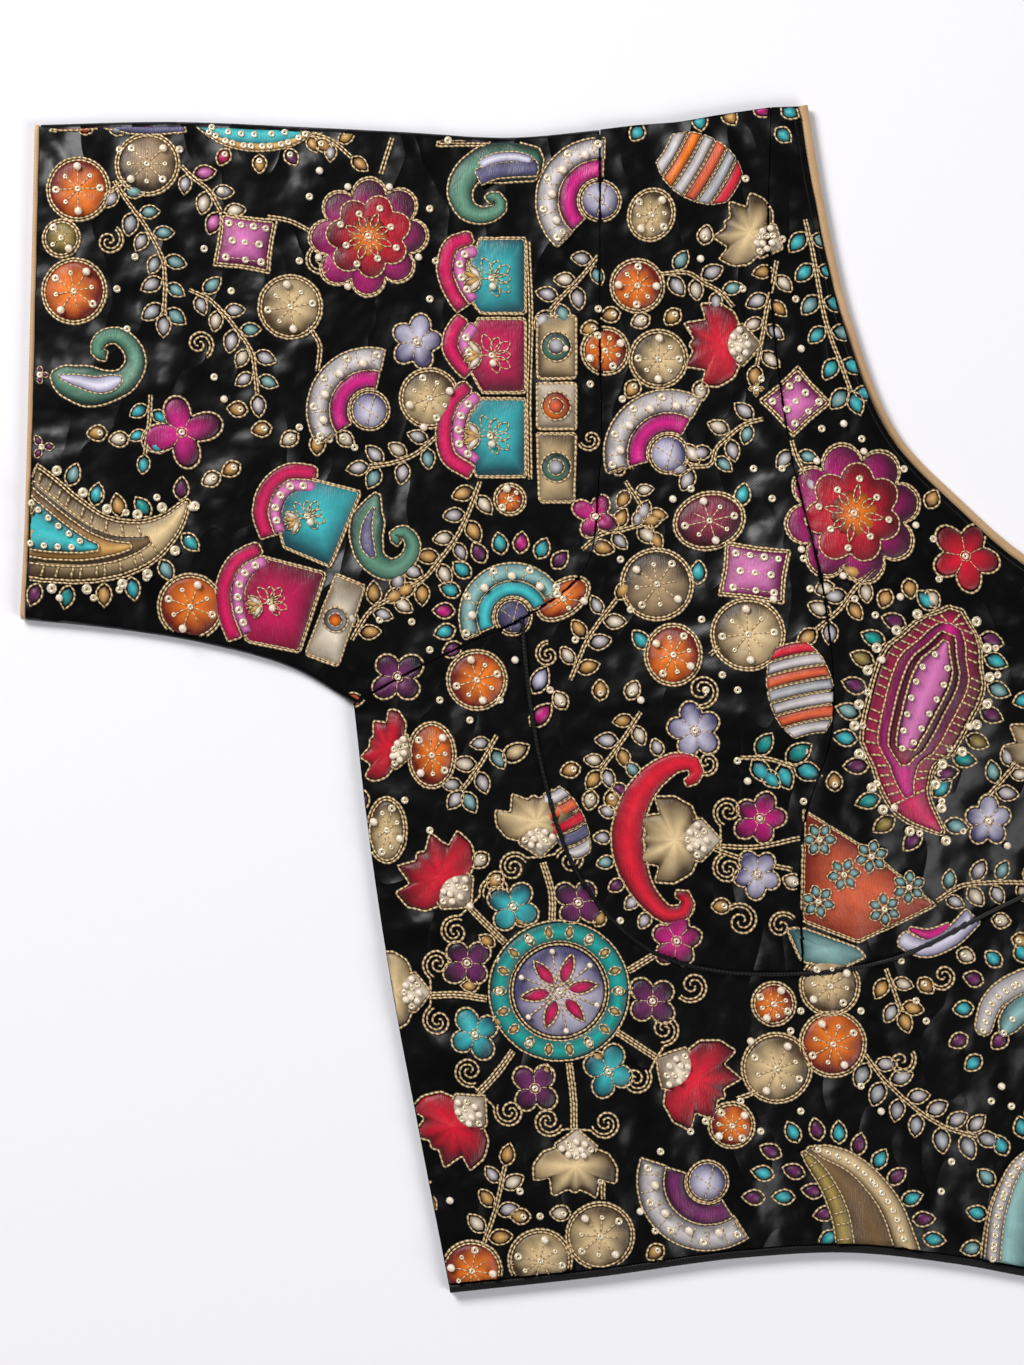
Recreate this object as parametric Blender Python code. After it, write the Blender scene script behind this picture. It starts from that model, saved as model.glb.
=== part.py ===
"""Choli blouse laid flat on its back: short wide sleeves, a deep round neck, piped cups and a bound hem.

+X and -X run out along the sleeves, +Y runs up to the shoulders and +Z is up off the surface. The front is
cut as two side cups, two centre cups and one band below them. The back is cut in two and closes down its
centre over a placket. Each sleeve is one tube, pressed flat. Every panel is a cloth wall of even thickness,
and the padded applique pieces are raised in the outer face of the front and of the sleeves' upper layer.
"""

import math
from collections import namedtuple

import bmesh
import bpy
import numpy as np
from mathutils import Vector
from mathutils.geometry import delaunay_2d_cdt

MM = 0.001

# Cloth, seams and trims
WALL = 1.6 * MM
SEAM_GAP = 0.3 * MM
FOLD_BULGE = 1.7 * MM
FOLD_STEPS = 2
NECK_PIPING = 3.0 * MM
NECK_PIPING_HEIGHT = 2.2 * MM
BACK_PIPING_HEIGHT = 1.4 * MM
BACK_NECK_DROP = 2.0 * MM
SLEEVE_PIPING = 1.6 * MM
CUP_PIPING = 1.4 * MM
CUP_PIPING_LIFT = 0.5 * MM
HEM_BINDING = 2.6 * MM
TRIM_PROUD = 0.3 * MM

# How far the front stands off the back
PUFF = 3.6 * MM
PUFF_REACH = 30.0 * MM
CUP_RISE = 17.0 * MM
CUP_OUT = 88.0 * MM
CUP_UP = 2.0 * MM
CUP_WIDTH = 50.0 * MM
CUP_ABOVE = 72.0 * MM
CUP_BELOW = 58.0 * MM
CUP_SEAM_ROLL = 22.0 * MM

# Placket inside the centre back
PLACKET_WIDTH = 18.0 * MM
PLACKET_WALL = 1.0 * MM
PLACKET_CLEAR = 14.0 * MM
PLACKET_STEPS = 8

# Fineness of the meshes
EDGE_STEP = 11.0 * MM
NECK_STEP = 8.0 * MM
FRONT_STEP = 17.0 * MM
PLAIN_STEP = 26.0 * MM
CURVE_STEPS = 40
PIPING_STEP = 9.0 * MM
PIPING_SIDES = 6
FINE = 1.0e-7

# Padded applique
RELIEF = 1.0 * MM
RELIEF_SHOULDER = 0.78
RELIEF_CLEAR = 2.0 * MM
RING_APART = 1.3 * MM
GRID_APART = 6.0 * MM

# Points of each edge on one half: (out from the centre front, up from the middle height), in mm.
EDGES = {
    "neck": (
        (96.6, 190.0), (91.5, 159.7), (82.6, 121.3), (66.2, 82.9), (47.4, 63.7), (27.8, 46.7), (12.0, 37.5),
        (0.0, 35.5),
    ),
    "neck_shoulder": ((96.6, 190.0), (108.5, 189.6)),
    "shoulder": ((108.5, 189.6), (124.8, 187.2), (137.6, 185.0), (150.4, 184.0), (163.2, 182.4)),
    "sleeve_top": (
        (163.2, 182.4), (190.0, 180.0), (227.0, 181.8), (259.0, 183.4), (300.0, 185.0), (344.2, 184.0),
    ),
    "sleeve_hem": ((344.2, 184.0), (344.8, 159.7), (346.2, 102.0), (347.7, 51.0), (349.0, 25.5)),
    "sleeve_under": ((349.0, 25.5), (320.6, 22.7), (289.0, 17.6), (260.5, 9.3), (242.2, -1.5)),
    "armhole": ((163.2, 182.4), (163.4, 120.0), (163.6, 70.0), (168.5, 41.0), (188.3, 25.6)),
    "armhole_under": ((188.3, 25.6), (207.0, 17.0), (225.0, 8.0), (242.2, -1.5)),
    "side": ((242.2, -1.5), (238.0, -38.7), (230.4, -89.9), (220.8, -141.1), (211.2, -190.2)),
    "hem": (
        (211.2, -190.2), (163.2, -185.0), (116.8, -178.9), (85.0, -177.3), (48.0, -181.1), (22.0, -185.6),
        (0.0, -187.0),
    ),
    "cup_seam_side": (
        (188.3, 25.6), (185.3, -3.2), (180.5, -27.5), (169.9, -56.6), (150.0, -78.5), (98.6, -87.6),
    ),
    "cup_seam_centre": ((98.6, -87.6), (72.0, -83.5), (36.8, -66.9), (0.0, -49.0)),
    "princess": (
        (108.5, 189.6), (109.4, 143.7), (103.0, 80.0), (92.5, 30.0), (90.9, -11.8), (98.6, -38.0),
        (98.6, -87.6),
    ),
}

# Edges that run on from each other in one smooth line
RUNS_ON = (("armhole", "armhole_under"), ("cup_seam_side", "cup_seam_centre"))

# Soft folds of the cloth: one end, other end, half width and rise, in mm.
Fold = namedtuple("Fold", "out up to_out to_up half_width rise")
FOLDS = (
    Fold(238, 0, 196, -28, 12, 1.6),
    Fold(232, -60, 190, -84, 12, 1.2),
    Fold(226, -118, 196, -104, 11, 1.2),
    Fold(178, 172, 168, 70, 13, 1.5),
    Fold(252, 20, 216, 70, 13, 1.6),
    Fold(300, 34, 262, 96, 14, 1.2),
    Fold(336, 84, 286, 112, 12, 1.0),
    Fold(150, 60, 176, 34, 11, 1.3),
    Fold(66, 150, 72, 96, 11, 1.1),
    Fold(150, -100, 132, -176, 13, 1.3),
    Fold(62, -96, 48, -170, 13, 1.2),
    Fold(20, 22, 34, -44, 12, 1.1),
)

# Padded applique of one half: kind, centre out and up, half width, half height (mm) and turn (degrees).
Applique = namedtuple("Applique", "kind out up across along turn")
APPLIQUE = (
    Applique("round", 330, 163, 10, 10, 0),
    Applique("round", 308, 170, 10, 10, 0),
    Applique("round", 331, 130, 10, 10, 0),
    Applique("square", 276, 146, 10, 10, 10),
    Applique("bloom", 237, 148, 19, 19, 0),
    Applique("round", 262, 125, 10, 10, 0),
    Applique("star", 297, 85, 12, 12, 0),
    Applique("drop", 323, 105, 14, 9, 0),
    Applique("drop", 318, 56, 25, 15, 20),
    Applique("round", 294, 29, 10, 10, 0),
    Applique("round", 243, 97, 14, 12, 0),
    Applique("star", 222, 114, 9, 9, 0),
    Applique("round", 218, 95, 9, 9, 0),
    Applique("drop", 198, 164, 14, 10, 0),
    Applique("square", 196, 135, 11, 12, 0),
    Applique("square", 196, 109, 11, 11, 0),
    Applique("square", 196, 83, 11, 12, 0),
    Applique("square", 177, 93, 5, 28, 0),
    Applique("square", 256, 59, 12, 12, -20),
    Applique("square", 269, 32, 12, 12, -20),
    Applique("drop", 230, 54, 12, 9, -60),
    Applique("drop", 143, 163, 12, 9, 45),
    Applique("round", 162, 111, 7, 7, 0),
    Applique("round", 144, 108, 9, 9, 0),
    Applique("round", 151, 132, 8, 8, 0),
    Applique("round", 131, 169, 13, 10, 30),
    Applique("square", 101, 95, 9, 9, 45),
    Applique("round", 147, 82, 14, 11, 0),
    Applique("bloom", 83, 59, 22, 18, 0),
    Applique("star", 47, 46, 12, 9, 0),
    Applique("round", 129, 57, 11, 9, 0),
    Applique("round", 145, 36, 10, 10, 0),
    Applique("square", 115, 40, 10, 10, -8),
    Applique("round", 117, 20, 11, 10, 0),
    Applique("round", 140, 13, 9, 9, 0),
    Applique("round", 203, 6, 9, 9, 0),
    Applique("round", 217, -18, 8, 10, 0),
    Applique("drop", 56, -8, 30, 16, 110),
    Applique("star", 133, -10, 9, 9, 0),
    Applique("star", 113, -38, 8, 8, 0),
    Applique("star", 136, -45, 12, 12, 0),
    Applique("star", 218, -56, 12, 12, 0),
    Applique("round", 176, -93, 22, 22, 0),
    Applique("star", 211, -138, 12, 12, 0),
    Applique("star", 170, -149, 12, 12, 0),
    Applique("star", 132, -123, 13, 13, 0),
    Applique("round", 108, -97, 7, 7, 0),
    Applique("round", 89, -110, 10, 10, 0),
    Applique("round", 108, -118, 11, 11, 0),
    Applique("round", 134, -160, 15, 13, 0),
    Applique("round", 163, -172, 10, 9, 0),
    Applique("drop", 72, -60, 20, 13, 160),
    Applique("drop", 78, -158, 20, 14, 120),
)

# Outline of each kind of applique: corners round it, petals and depth of the notches between them
Shape = namedtuple("Shape", "corners petals notch")
SHAPES = {
    "round": Shape(10, 0, 0.0),
    "bloom": Shape(16, 8, 0.14),
    "star": Shape(10, 5, 0.26),
    "square": Shape(8, 0, 0.0),
    "drop": Shape(11, 0, 0.0),
}

COLOURS = {
    "black_satin": ((0.012, 0.011, 0.012), 0.42),
    "black_cord": ((0.008, 0.008, 0.008), 0.5),
    "gold_satin": ((0.55, 0.38, 0.21), 0.36),
}


def clear_scene():
    """Removes whatever the scene holds before the blouse is made."""
    for old in list(bpy.data.objects):
        bpy.data.objects.remove(old, do_unlink=True)


def cloth(name):
    """The Principled material of the given colour name."""
    found = bpy.data.materials.get(name)
    if found:
        return found
    colour, roughness = COLOURS[name]
    made = bpy.data.materials.new(name)
    made.use_nodes = True
    shader = made.node_tree.nodes["Principled BSDF"]
    shader.inputs["Base Color"].default_value = (*colour, 1.0)
    shader.inputs["Roughness"].default_value = roughness
    shader.inputs["Metallic"].default_value = 0.0
    made.diffuse_color = (*colour, 1.0)
    return made


# Curves in the plan

def smooth_line(knots):
    """A smooth curve through the knots, as CURVE_STEPS points for each stretch between two of them."""
    steps = np.linalg.norm(np.diff(knots, axis=0), axis=1)
    reach = np.concatenate([[0.0], np.cumsum(steps)])
    slopes = np.gradient(knots, reach, axis=0)
    points = []
    for index, step in enumerate(steps):
        t = np.linspace(0.0, 1.0, CURVE_STEPS, endpoint=False)[:, None]
        start, end = knots[index], knots[index + 1]
        leave, arrive = slopes[index] * step, slopes[index + 1] * step
        points.append(
            (2 * t**3 - 3 * t**2 + 1) * start
            + (t**3 - 2 * t**2 + t) * leave
            + (3 * t**2 - 2 * t**3) * end
            + (t**3 - t**2) * arrive
        )
    return np.vstack([*points, knots[-1:]])


def spaced(points, step):
    """The line's points again, evenly spaced and about `step` apart, with both ends kept."""
    reach = np.concatenate([[0.0], np.cumsum(np.linalg.norm(np.diff(points, axis=0), axis=1))])
    count = max(1, round(reach[-1] / step))
    stations = np.linspace(0.0, reach[-1], count + 1)
    return np.column_stack([np.interp(stations, reach, points[:, axis]) for axis in (0, 1)])


def draw_edges():
    """Every edge of EDGES as a dense smooth line, in metres."""
    lines = {name: smooth_line(np.array(knots) * MM) for name, knots in EDGES.items()}
    for first, second in RUNS_ON:
        joined = smooth_line(np.array(EDGES[first] + EDGES[second][1:]) * MM)
        split = CURVE_STEPS * (len(EDGES[first]) - 1)
        lines[first], lines[second] = joined[: split + 1], joined[split:]
    return lines


LINES = draw_edges()


def edge(name, step=EDGE_STEP, back=False):
    """An edge's evenly spaced points, from its last point to its first where `back` is set."""
    points = spaced(LINES[name], step)
    return points[::-1] if back else points


def silhouette():
    """The outline of one half, from the neck round the sleeve to the hem's middle, as dense points."""
    names = ("neck_shoulder", "shoulder", "sleeve_top", "sleeve_hem", "sleeve_under", "side", "hem")
    return np.vstack([LINES["neck"][::-1], *(LINES[name] for name in names)])


SILHOUETTE = silhouette()
CUP_LINE = np.vstack([LINES["cup_seam_side"], LINES["cup_seam_centre"]])


def distance(points, line):
    """How far each plan point lies from the nearest point of a line, with both on the +X half."""
    points = np.abs(np.asarray(points)[:, :1]), np.asarray(points)[:, 1:]
    points = np.hstack(points)
    starts, ends = line[:-1], line[1:]
    along = ends - starts
    square = np.maximum((along**2).sum(axis=1), FINE**2)
    offset = points[:, None, :] - starts[None, :, :]
    part = np.clip((offset * along).sum(axis=2) / square, 0.0, 1.0)
    nearest = offset - part[:, :, None] * along
    return np.sqrt((nearest**2).sum(axis=2)).min(axis=1)


def inside(points, loop):
    """True for each plan point that lies inside the closed loop."""
    points = np.asarray(points)
    found = np.zeros(len(points), dtype=bool)
    for (x0, y0), (x1, y1) in zip(loop, np.roll(loop, -1, axis=0)):
        crosses = (y0 > points[:, 1]) != (y1 > points[:, 1])
        rise = y1 - y0 if y1 != y0 else FINE
        found ^= crosses & (points[:, 0] < (x1 - x0) * (points[:, 1] - y0) / rise + x0)
    return found


# Heights of the cloth above the surface it lies on

def fold_rise(points):
    """Height that the soft folds add at each plan point."""
    points = np.column_stack([np.abs(points[:, 0]), points[:, 1]])
    total = np.zeros(len(points))
    for fold in FOLDS:
        start = np.array([fold.out, fold.up]) * MM
        along = np.array([fold.to_out, fold.to_up]) * MM - start
        length = np.linalg.norm(along)
        along = along / length
        offset = points - start
        run = (offset @ along) / length
        across = np.abs(offset @ np.array([-along[1], along[0]])) / (fold.half_width * MM)
        taper = np.sin(math.pi * np.clip(run, 0.0, 1.0))
        total += fold.rise * MM * taper * np.cos(0.5 * math.pi * np.minimum(across, 1.0)) ** 2
    return total


def cup_rise(points):
    """Height that the bust cups add at each plan point: nothing at the piped seam below them."""
    out = np.abs(points[:, 0]) - CUP_OUT
    up = points[:, 1] - CUP_UP
    reach = np.where(up > 0.0, CUP_ABOVE, CUP_BELOW)
    dome = np.exp(-((out / CUP_WIDTH) ** 2) - (up / reach) ** 2)
    roll = np.clip(distance(points, CUP_LINE) / CUP_SEAM_ROLL, 0.0, 1.0)
    return CUP_RISE * dome * roll**2 * (3.0 - 2.0 * roll) * in_cup(points)


def in_cup(points):
    """1 for each plan point above the cup seam and clear of the sleeve, else 0."""
    half = np.column_stack([np.abs(points[:, 0]), points[:, 1]])
    corners = np.vstack([CUP_LINE, [[-PUFF_REACH, LINES["cup_seam_centre"][-1][1]]],
                         [[-PUFF_REACH, LINES["neck"][0][1]]], LINES["armhole"]])
    return inside(half, corners).astype(float)


def front_under(points):
    """Height of the front's inner face: it rests on the back along its edges and rises inside them."""
    points = np.asarray(points)
    rim = np.minimum(distance(points, SILHOUETTE) / PUFF_REACH, 1.0)
    swell = np.sin(0.5 * math.pi * rim)
    return WALL + SEAM_GAP + PUFF * swell + fold_rise(points) * swell + cup_rise(points)


def front_top(points):
    """Height of the front's outer face."""
    return front_under(points) + WALL


def trim_top(points):
    """Height of the outer face of a narrow binding on the front."""
    return front_top(points) + TRIM_PROUD


def level(height):
    """A height function that is the same everywhere."""
    return lambda points: np.full(len(points), height)


# Loops and the points inside them

def turned(loop):
    """The loop run anticlockwise, seen from above."""
    after = np.roll(loop, -1, axis=0)
    area = (loop[:, 0] * after[:, 1] - loop[:, 1] * after[:, 0]).sum()
    return loop if area > 0.0 else loop[::-1]


def joined(*lines):
    """One closed loop from lines that meet end to end, and for each line the loop's index where it starts."""
    starts = list(np.cumsum([0] + [len(line) - 1 for line in lines[:-1]]))
    return np.vstack([line[:-1] for line in lines]), starts


def inset(loop, margins):
    """The anticlockwise loop moved inwards, each side by its own margin.

    margins holds one number for each side, from a corner to the next one.
    """
    after = np.roll(loop, -1, axis=0) - loop
    length = np.linalg.norm(after, axis=1)
    inward = np.column_stack([-after[:, 1], after[:, 0]]) / length[:, None]
    moved = []
    for index, corner in enumerate(loop):
        before, ahead = inward[index - 1], inward[index]
        gap_before, gap_ahead = margins[index - 1], margins[index]
        turn = before[0] * ahead[1] - before[1] * ahead[0]
        if abs(turn) < 0.05:
            moved.append(corner + (before + ahead) / 2.0 * (gap_before + gap_ahead) / 2.0)
            continue
        x = (gap_before * ahead[1] - gap_ahead * before[1]) / turn
        y = (gap_ahead * before[0] - gap_before * ahead[0]) / turn
        moved.append(corner + np.array([x, y]))
    return np.array(moved)


def side_margins(starts, count, widths):
    """One margin for each side of a loop, from one width for each of the lines that it was joined from."""
    margins = np.zeros(count)
    for start, end, width in zip(starts, [*starts[1:], count], widths):
        margins[start:end] = width
    return margins


def half_panel(*pieces):
    """The closed loop of a panel on the +X half, drawn in by each edge's margin.

    pieces holds (line, margin) pairs, anticlockwise.
    """
    lines = [line for line, _ in pieces]
    loop, starts = joined(*lines)
    return inset(loop, side_margins(starts, len(loop), [margin for _, margin in pieces]))


def thinned(points, chosen, apart):
    """The points that lie at least `apart` from each chosen one and from each other."""
    kept = []
    for point in points:
        near = [*chosen, *kept]
        if not near or np.linalg.norm(np.array(near) - point, axis=1).min() >= apart:
            kept.append(point)
    return kept


def grid(loop, step):
    """Points of a staggered grid inside the loop and half a step clear of it."""
    low, high = loop.min(axis=0), loop.max(axis=0)
    rows = np.arange(low[1] + step / 2.0, high[1], step * math.sqrt(0.75))
    points = []
    for number, row in enumerate(rows):
        start = low[0] + step * (0.25 + 0.5 * (number % 2))
        points += [(x, row) for x in np.arange(start, high[0], step)]
    if not points:
        return np.empty((0, 2))
    points = np.array(points)
    points = points[inside(points, loop)]
    closed = np.vstack([loop, loop[:1]])
    return points[plain_distance(points, closed) > step / 2.0] if len(points) else points


def plain_distance(points, line):
    """How far each plan point lies from a line's nearest point, with neither of them mirrored."""
    starts, along = line[:-1], np.diff(line, axis=0)
    offset = points[:, None, :] - starts[None, :, :]
    square = np.maximum((along**2).sum(axis=1), FINE**2)
    part = np.clip((offset * along).sum(axis=2) / square, 0.0, 1.0)
    return np.sqrt(((offset - part[:, :, None] * along) ** 2).sum(axis=2)).min(axis=1)


# Padded applique

def outline(applique):
    """The outline of one applique piece on the +X half, as plan points."""
    shape = SHAPES[applique.kind]
    angles = np.linspace(0.0, 2.0 * math.pi, shape.corners, endpoint=False)
    radius = np.ones(shape.corners)
    if shape.petals:
        radius = 1.0 - shape.notch * (0.5 - 0.5 * np.cos(shape.petals * angles))
    if applique.kind == "square":
        angles = angles + math.pi / 4.0
        radius = 1.0 / np.maximum(np.abs(np.cos(angles)), np.abs(np.sin(angles)))
    x, y = radius * np.cos(angles), radius * np.sin(angles)
    if applique.kind == "drop":
        y = y * np.sin(angles / 2.0) ** 0.8
    x, y = x * applique.across * MM, y * applique.along * MM
    turn = math.radians(applique.turn)
    turned_x = x * math.cos(turn) - y * math.sin(turn)
    turned_y = x * math.sin(turn) + y * math.cos(turn)
    return np.column_stack([turned_x + applique.out * MM, turned_y + applique.up * MM])


def relief_points(loop, side=1):
    """Plan points that raise one half's applique pieces inside a panel, and the rise of each."""
    closed = np.vstack([loop, loop[:1]])
    chosen, rises = [], []
    for applique in APPLIQUE:
        foot = outline(applique) * np.array([side, 1.0])
        centre = np.array([[applique.out * MM * side, applique.up * MM]])
        shoulder = centre + (foot - centre) * RELIEF_SHOULDER
        rings = ((foot, 0.0), (shoulder, RELIEF), (centre, 1.15 * RELIEF))
        for ring, rise in rings:
            within = ring[inside(ring, loop)]
            if not len(within):
                continue
            within = within[plain_distance(within, closed) > RELIEF_CLEAR]
            for point in thinned(within, chosen, RING_APART):
                chosen.append(point)
                rises.append(rise)
    return chosen, rises


# Solids

class Shell:
    """Points and faces of one closed piece, drawn on the +X half and mirrored where its side is -1."""

    def __init__(self, name, material, side=1):
        self.name = name
        self.material = material
        self.side = side
        self.points = []
        self.faces = []

    def add(self, plan, heights):
        """Adds plan points at their heights and returns their indexes."""
        first = len(self.points)
        self.points += [(x, y, z) for (x, y), z in zip(plan, heights)]
        return list(range(first, len(self.points)))

    def sheet(self, loop, within, height, rises=None):
        """Fills a loop with triangles at a height function and returns the indexes along the loop."""
        plan = np.vstack([loop, within]) if len(within) else loop
        heights = height(plan)
        if rises is not None:
            heights[len(loop):] += rises
        indexes = self.add(plan, heights)
        found = delaunay_2d_cdt([Vector(point) for point in plan], [], [list(range(len(loop)))], 1, FINE)
        first = [min(sources) for sources in found[3]]
        self.faces += [[indexes[first[corner]] for corner in face] for face in found[2]]
        return indexes[: len(loop)]

    def strip(self, upper, lower, sides=None):
        """Joins two rings of indexes by one four-cornered face on each of the given sides."""
        count = len(upper)
        for here in range(count) if sides is None else sides:
            after = (here + 1) % count
            self.faces.append([upper[here], lower[here], lower[after], upper[after]])

    def build(self):
        """Makes the object, with its faces turned out and its corners left sharp."""
        mesh = bpy.data.meshes.new(self.name)
        points = [(self.side * float(x), float(y), float(z)) for x, y, z in self.points]
        mesh.from_pydata(points, [], self.faces)
        work = bmesh.new()
        work.from_mesh(mesh)
        bmesh.ops.recalc_face_normals(work, faces=work.faces)
        bmesh.ops.triangulate(work, faces=[face for face in work.faces if len(face.verts) > 4])
        work.to_mesh(mesh)
        work.free()
        mesh.shade_smooth()
        mesh.set_sharp_from_angle(angle=math.radians(40.0))
        mesh.materials.append(cloth(self.material))
        made = bpy.data.objects.new(self.name, mesh)
        bpy.context.scene.collection.objects.link(made)
        return made


def embroidered(plain, relief):
    """Inner points of an outer face: the applique's own, then the plain grid's where they stand clear of it.

    Returns the points and the rise of each.
    """
    chosen, rises = relief
    filler = thinned(plain, chosen, GRID_APART)
    return np.array(chosen + filler), np.array(rises + [0.0] * len(filler))


def panel(shell, loop, heights, step=PLAIN_STEP, relief=None):
    """A cloth panel between two height functions, its outer face raised where relief is given."""
    under, top = heights
    plain = grid(loop, step)
    within, rises = embroidered(plain, relief) if relief else (plain, None)
    upper = shell.sheet(loop, within, top, rises)
    lower = shell.sheet(loop, plain, under)
    shell.strip(upper, lower)
    return shell.build()


def flat_tube(shell, loop, fold_sides, top_height, step=PLAIN_STEP, relief=None):
    """A cloth tube pressed flat, open at both ends and folded along the given sides of its loop."""
    count = len(loop)
    margins = np.array([WALL if here in fold_sides else 0.0 for here in range(count)])
    hollow = inset(loop, margins)
    plain = grid(loop, step)
    within, rises = embroidered(plain, relief) if relief else (plain, None)
    top = shell.sheet(loop, within, top_height, rises)
    ceiling = shell.sheet(hollow, plain, front_under)
    floor = shell.sheet(hollow, plain, level(WALL))
    bottom = shell.sheet(loop, plain, level(0.0))
    rings = fold_rings(shell, loop, fold_sides, top)
    stack = [top, *rings, bottom]
    for upper, lower in zip(stack[:-1], stack[1:]):
        shell.strip(upper, lower, fold_sides)
    shell.strip(ceiling, floor, fold_sides)
    ends = [here for here in range(count) if here not in fold_sides]
    shell.strip(top, ceiling, ends)
    shell.strip(floor, bottom, ends)
    for here in range(count):
        if (here in fold_sides) != ((here - 1) % count in fold_sides):
            shell.faces.append([ring[here] for ring in stack] + [floor[here], ceiling[here]])
    return shell.build()


def fold_rings(shell, loop, fold_sides, top):
    """Rings of points that round each fold off between the upper and the lower layer.

    Returns one list of indexes for each ring, with None where the loop's corner is on no fold.
    """
    count = len(loop)
    after = np.roll(loop, -1, axis=0) - loop
    outward = np.column_stack([after[:, 1], -after[:, 0]]) / np.linalg.norm(after, axis=1)[:, None]
    rings = [[None] * count for _ in range(FOLD_STEPS)]
    for here in range(count):
        sides = [side for side in ((here - 1) % count, here) if side in fold_sides]
        if not sides:
            continue
        way = outward[sides].mean(axis=0)
        if len(sides) == 1:
            # At an open end the fold bulges along that end, so that it stays clear of the next panel.
            neighbour = loop[(here + 1) % count] if sides[0] != here else loop[here - 1]
            along = loop[here] - neighbour
            way = along / (along @ way)
        half = shell.points[top[here]][2] / 2.0
        for number in range(FOLD_STEPS):
            angle = math.pi * (number + 1) / (FOLD_STEPS + 1)
            spot = loop[here] + way * FOLD_BULGE * math.sin(angle)
            rings[number][here] = shell.add([spot], [half + half * math.cos(angle)])[0]
    return rings


def piping(shell, line, centres, size):
    """A covered cord along a plan line: the height of its middle at each point, and its (width, height)."""
    ahead = np.gradient(line, axis=0)
    # An end at the centre is cut square, along the centre line.
    ahead[np.abs(line[:, 0]) < CUP_PIPING, 1] = 0.0
    across = np.column_stack([ahead[:, 1], -ahead[:, 0]]) / np.linalg.norm(ahead, axis=1)[:, None]
    width, height = size
    angles = np.linspace(0.0, 2.0 * math.pi, PIPING_SIDES, endpoint=False) + math.pi / PIPING_SIDES
    out = np.cos(angles) / math.cos(math.pi / PIPING_SIDES)
    rise = np.sin(angles) / math.cos(math.pi / PIPING_SIDES)
    rings = []
    for spot, way, centre in zip(line, across, centres):
        plan = spot + np.outer(np.clip(out, -1.0, 1.0) * width / 2.0, way)
        rings.append(shell.add(plan, centre + np.clip(rise, -1.0, 1.0) * height / 2.0))
    for one, other in zip(rings[:-1], rings[1:]):
        shell.strip(one, other)
    shell.faces += [rings[0], rings[-1]]
    return shell.build()


def mirrored(line):
    """A whole line across both halves, from a +X half line that ends at the centre."""
    flipped = line[:-1][::-1] * np.array([-1.0, 1.0])
    return np.vstack([line, flipped])


# Pieces

def name_of(stem, side):
    """A piece's name on one side: left and right are as seen from above, with the neck at the top."""
    return f"{stem}_{'right' if side > 0 else 'left'}"


def make_side_cup(side):
    """Outer part of the bust cup, from the armhole to the princess seam and up to the shoulder."""
    half = SEAM_GAP / 2.0
    loop = half_panel(
        (edge("cup_seam_side", back=True), half),
        (edge("armhole", back=True), half),
        (edge("shoulder", back=True), half),
        (edge("princess"), half),
    )
    shell = Shell(name_of("cup_side", side), "black_satin", side)
    return panel(shell, loop, (front_under, front_top), FRONT_STEP, relief_points(loop))


def make_centre_cup(side):
    """Inner part of the bust cup, from the princess seam to the neck piping and the centre front."""
    half = SEAM_GAP / 2.0
    middle = np.array([LINES["neck"][-1], LINES["cup_seam_centre"][-1]])
    loop = half_panel(
        (edge("cup_seam_centre", back=True), half),
        (edge("princess", back=True), half),
        (edge("neck_shoulder", back=True), half),
        (edge("neck", NECK_STEP), NECK_PIPING + SEAM_GAP),
        (spaced(middle, EDGE_STEP), half),
    )
    shell = Shell(name_of("cup_centre", side), "black_satin", side)
    return panel(shell, loop, (front_under, front_top), FRONT_STEP, relief_points(loop))


def make_front_band():
    """Band below the cups, cut in one across the centre front, with its sides up to the armholes."""
    half = SEAM_GAP / 2.0
    pieces = (
        (edge("hem", back=True), HEM_BINDING + SEAM_GAP),
        (edge("side", back=True), half),
        (edge("armhole_under", back=True), half),
        (edge("cup_seam_side"), half),
        (edge("cup_seam_centre"), half),
    )
    loop = np.vstack([line[:-1] for line, _ in pieces] + [pieces[-1][0][-1:]])
    margins = np.concatenate([np.full(len(line) - 1, margin) for line, margin in pieces])
    whole = np.vstack([loop, loop[1:-1][::-1] * np.array([-1.0, 1.0])])
    around = np.concatenate([margins, margins[::-1]])
    band = inset(whole, around)
    chosen, rises = relief_points(band)
    other, other_rises = relief_points(band, -1)
    shell = Shell("front_band", "black_satin")
    relief = (chosen + other, rises + other_rises)
    return panel(shell, band, (front_under, front_top), FRONT_STEP, relief)


def make_back(side):
    """Half of the back, from the side seam to the closed opening down the centre back."""
    half = SEAM_GAP / 2.0
    middle = np.array([LINES["neck"][-1], LINES["hem"][-1]])
    loop = half_panel(
        (edge("hem", back=True), HEM_BINDING + SEAM_GAP),
        (edge("side", back=True), half),
        (edge("armhole_under", back=True), half),
        (edge("armhole", back=True), half),
        (edge("shoulder", back=True), half),
        (edge("neck_shoulder", back=True), half),
        (edge("neck", NECK_STEP), BACK_NECK_DROP + NECK_PIPING + SEAM_GAP),
        (spaced(middle, EDGE_STEP), half),
    )
    return panel(Shell(name_of("back", side), "black_satin", side), loop, (level(0.0), level(WALL)))


def make_sleeve(side):
    """Short wide sleeve: one tube pressed flat, folded along the top and seamed under the arm."""
    lines = (
        edge("sleeve_under", back=True),
        edge("sleeve_hem", back=True),
        edge("sleeve_top", back=True),
        edge("armhole"),
        edge("armhole_under"),
    )
    loop, starts = joined(*lines)
    widths = (FOLD_BULGE, SLEEVE_PIPING + SEAM_GAP, FOLD_BULGE, SEAM_GAP / 2.0, SEAM_GAP / 2.0)
    loop = inset(loop, side_margins(starts, len(loop), widths))
    folds = set(range(starts[0], starts[1])) | set(range(starts[2], starts[3]))
    shell = Shell(name_of("sleeve", side), "black_satin", side)
    return flat_tube(shell, loop, folds, front_top, FRONT_STEP, relief_points(loop))


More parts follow.
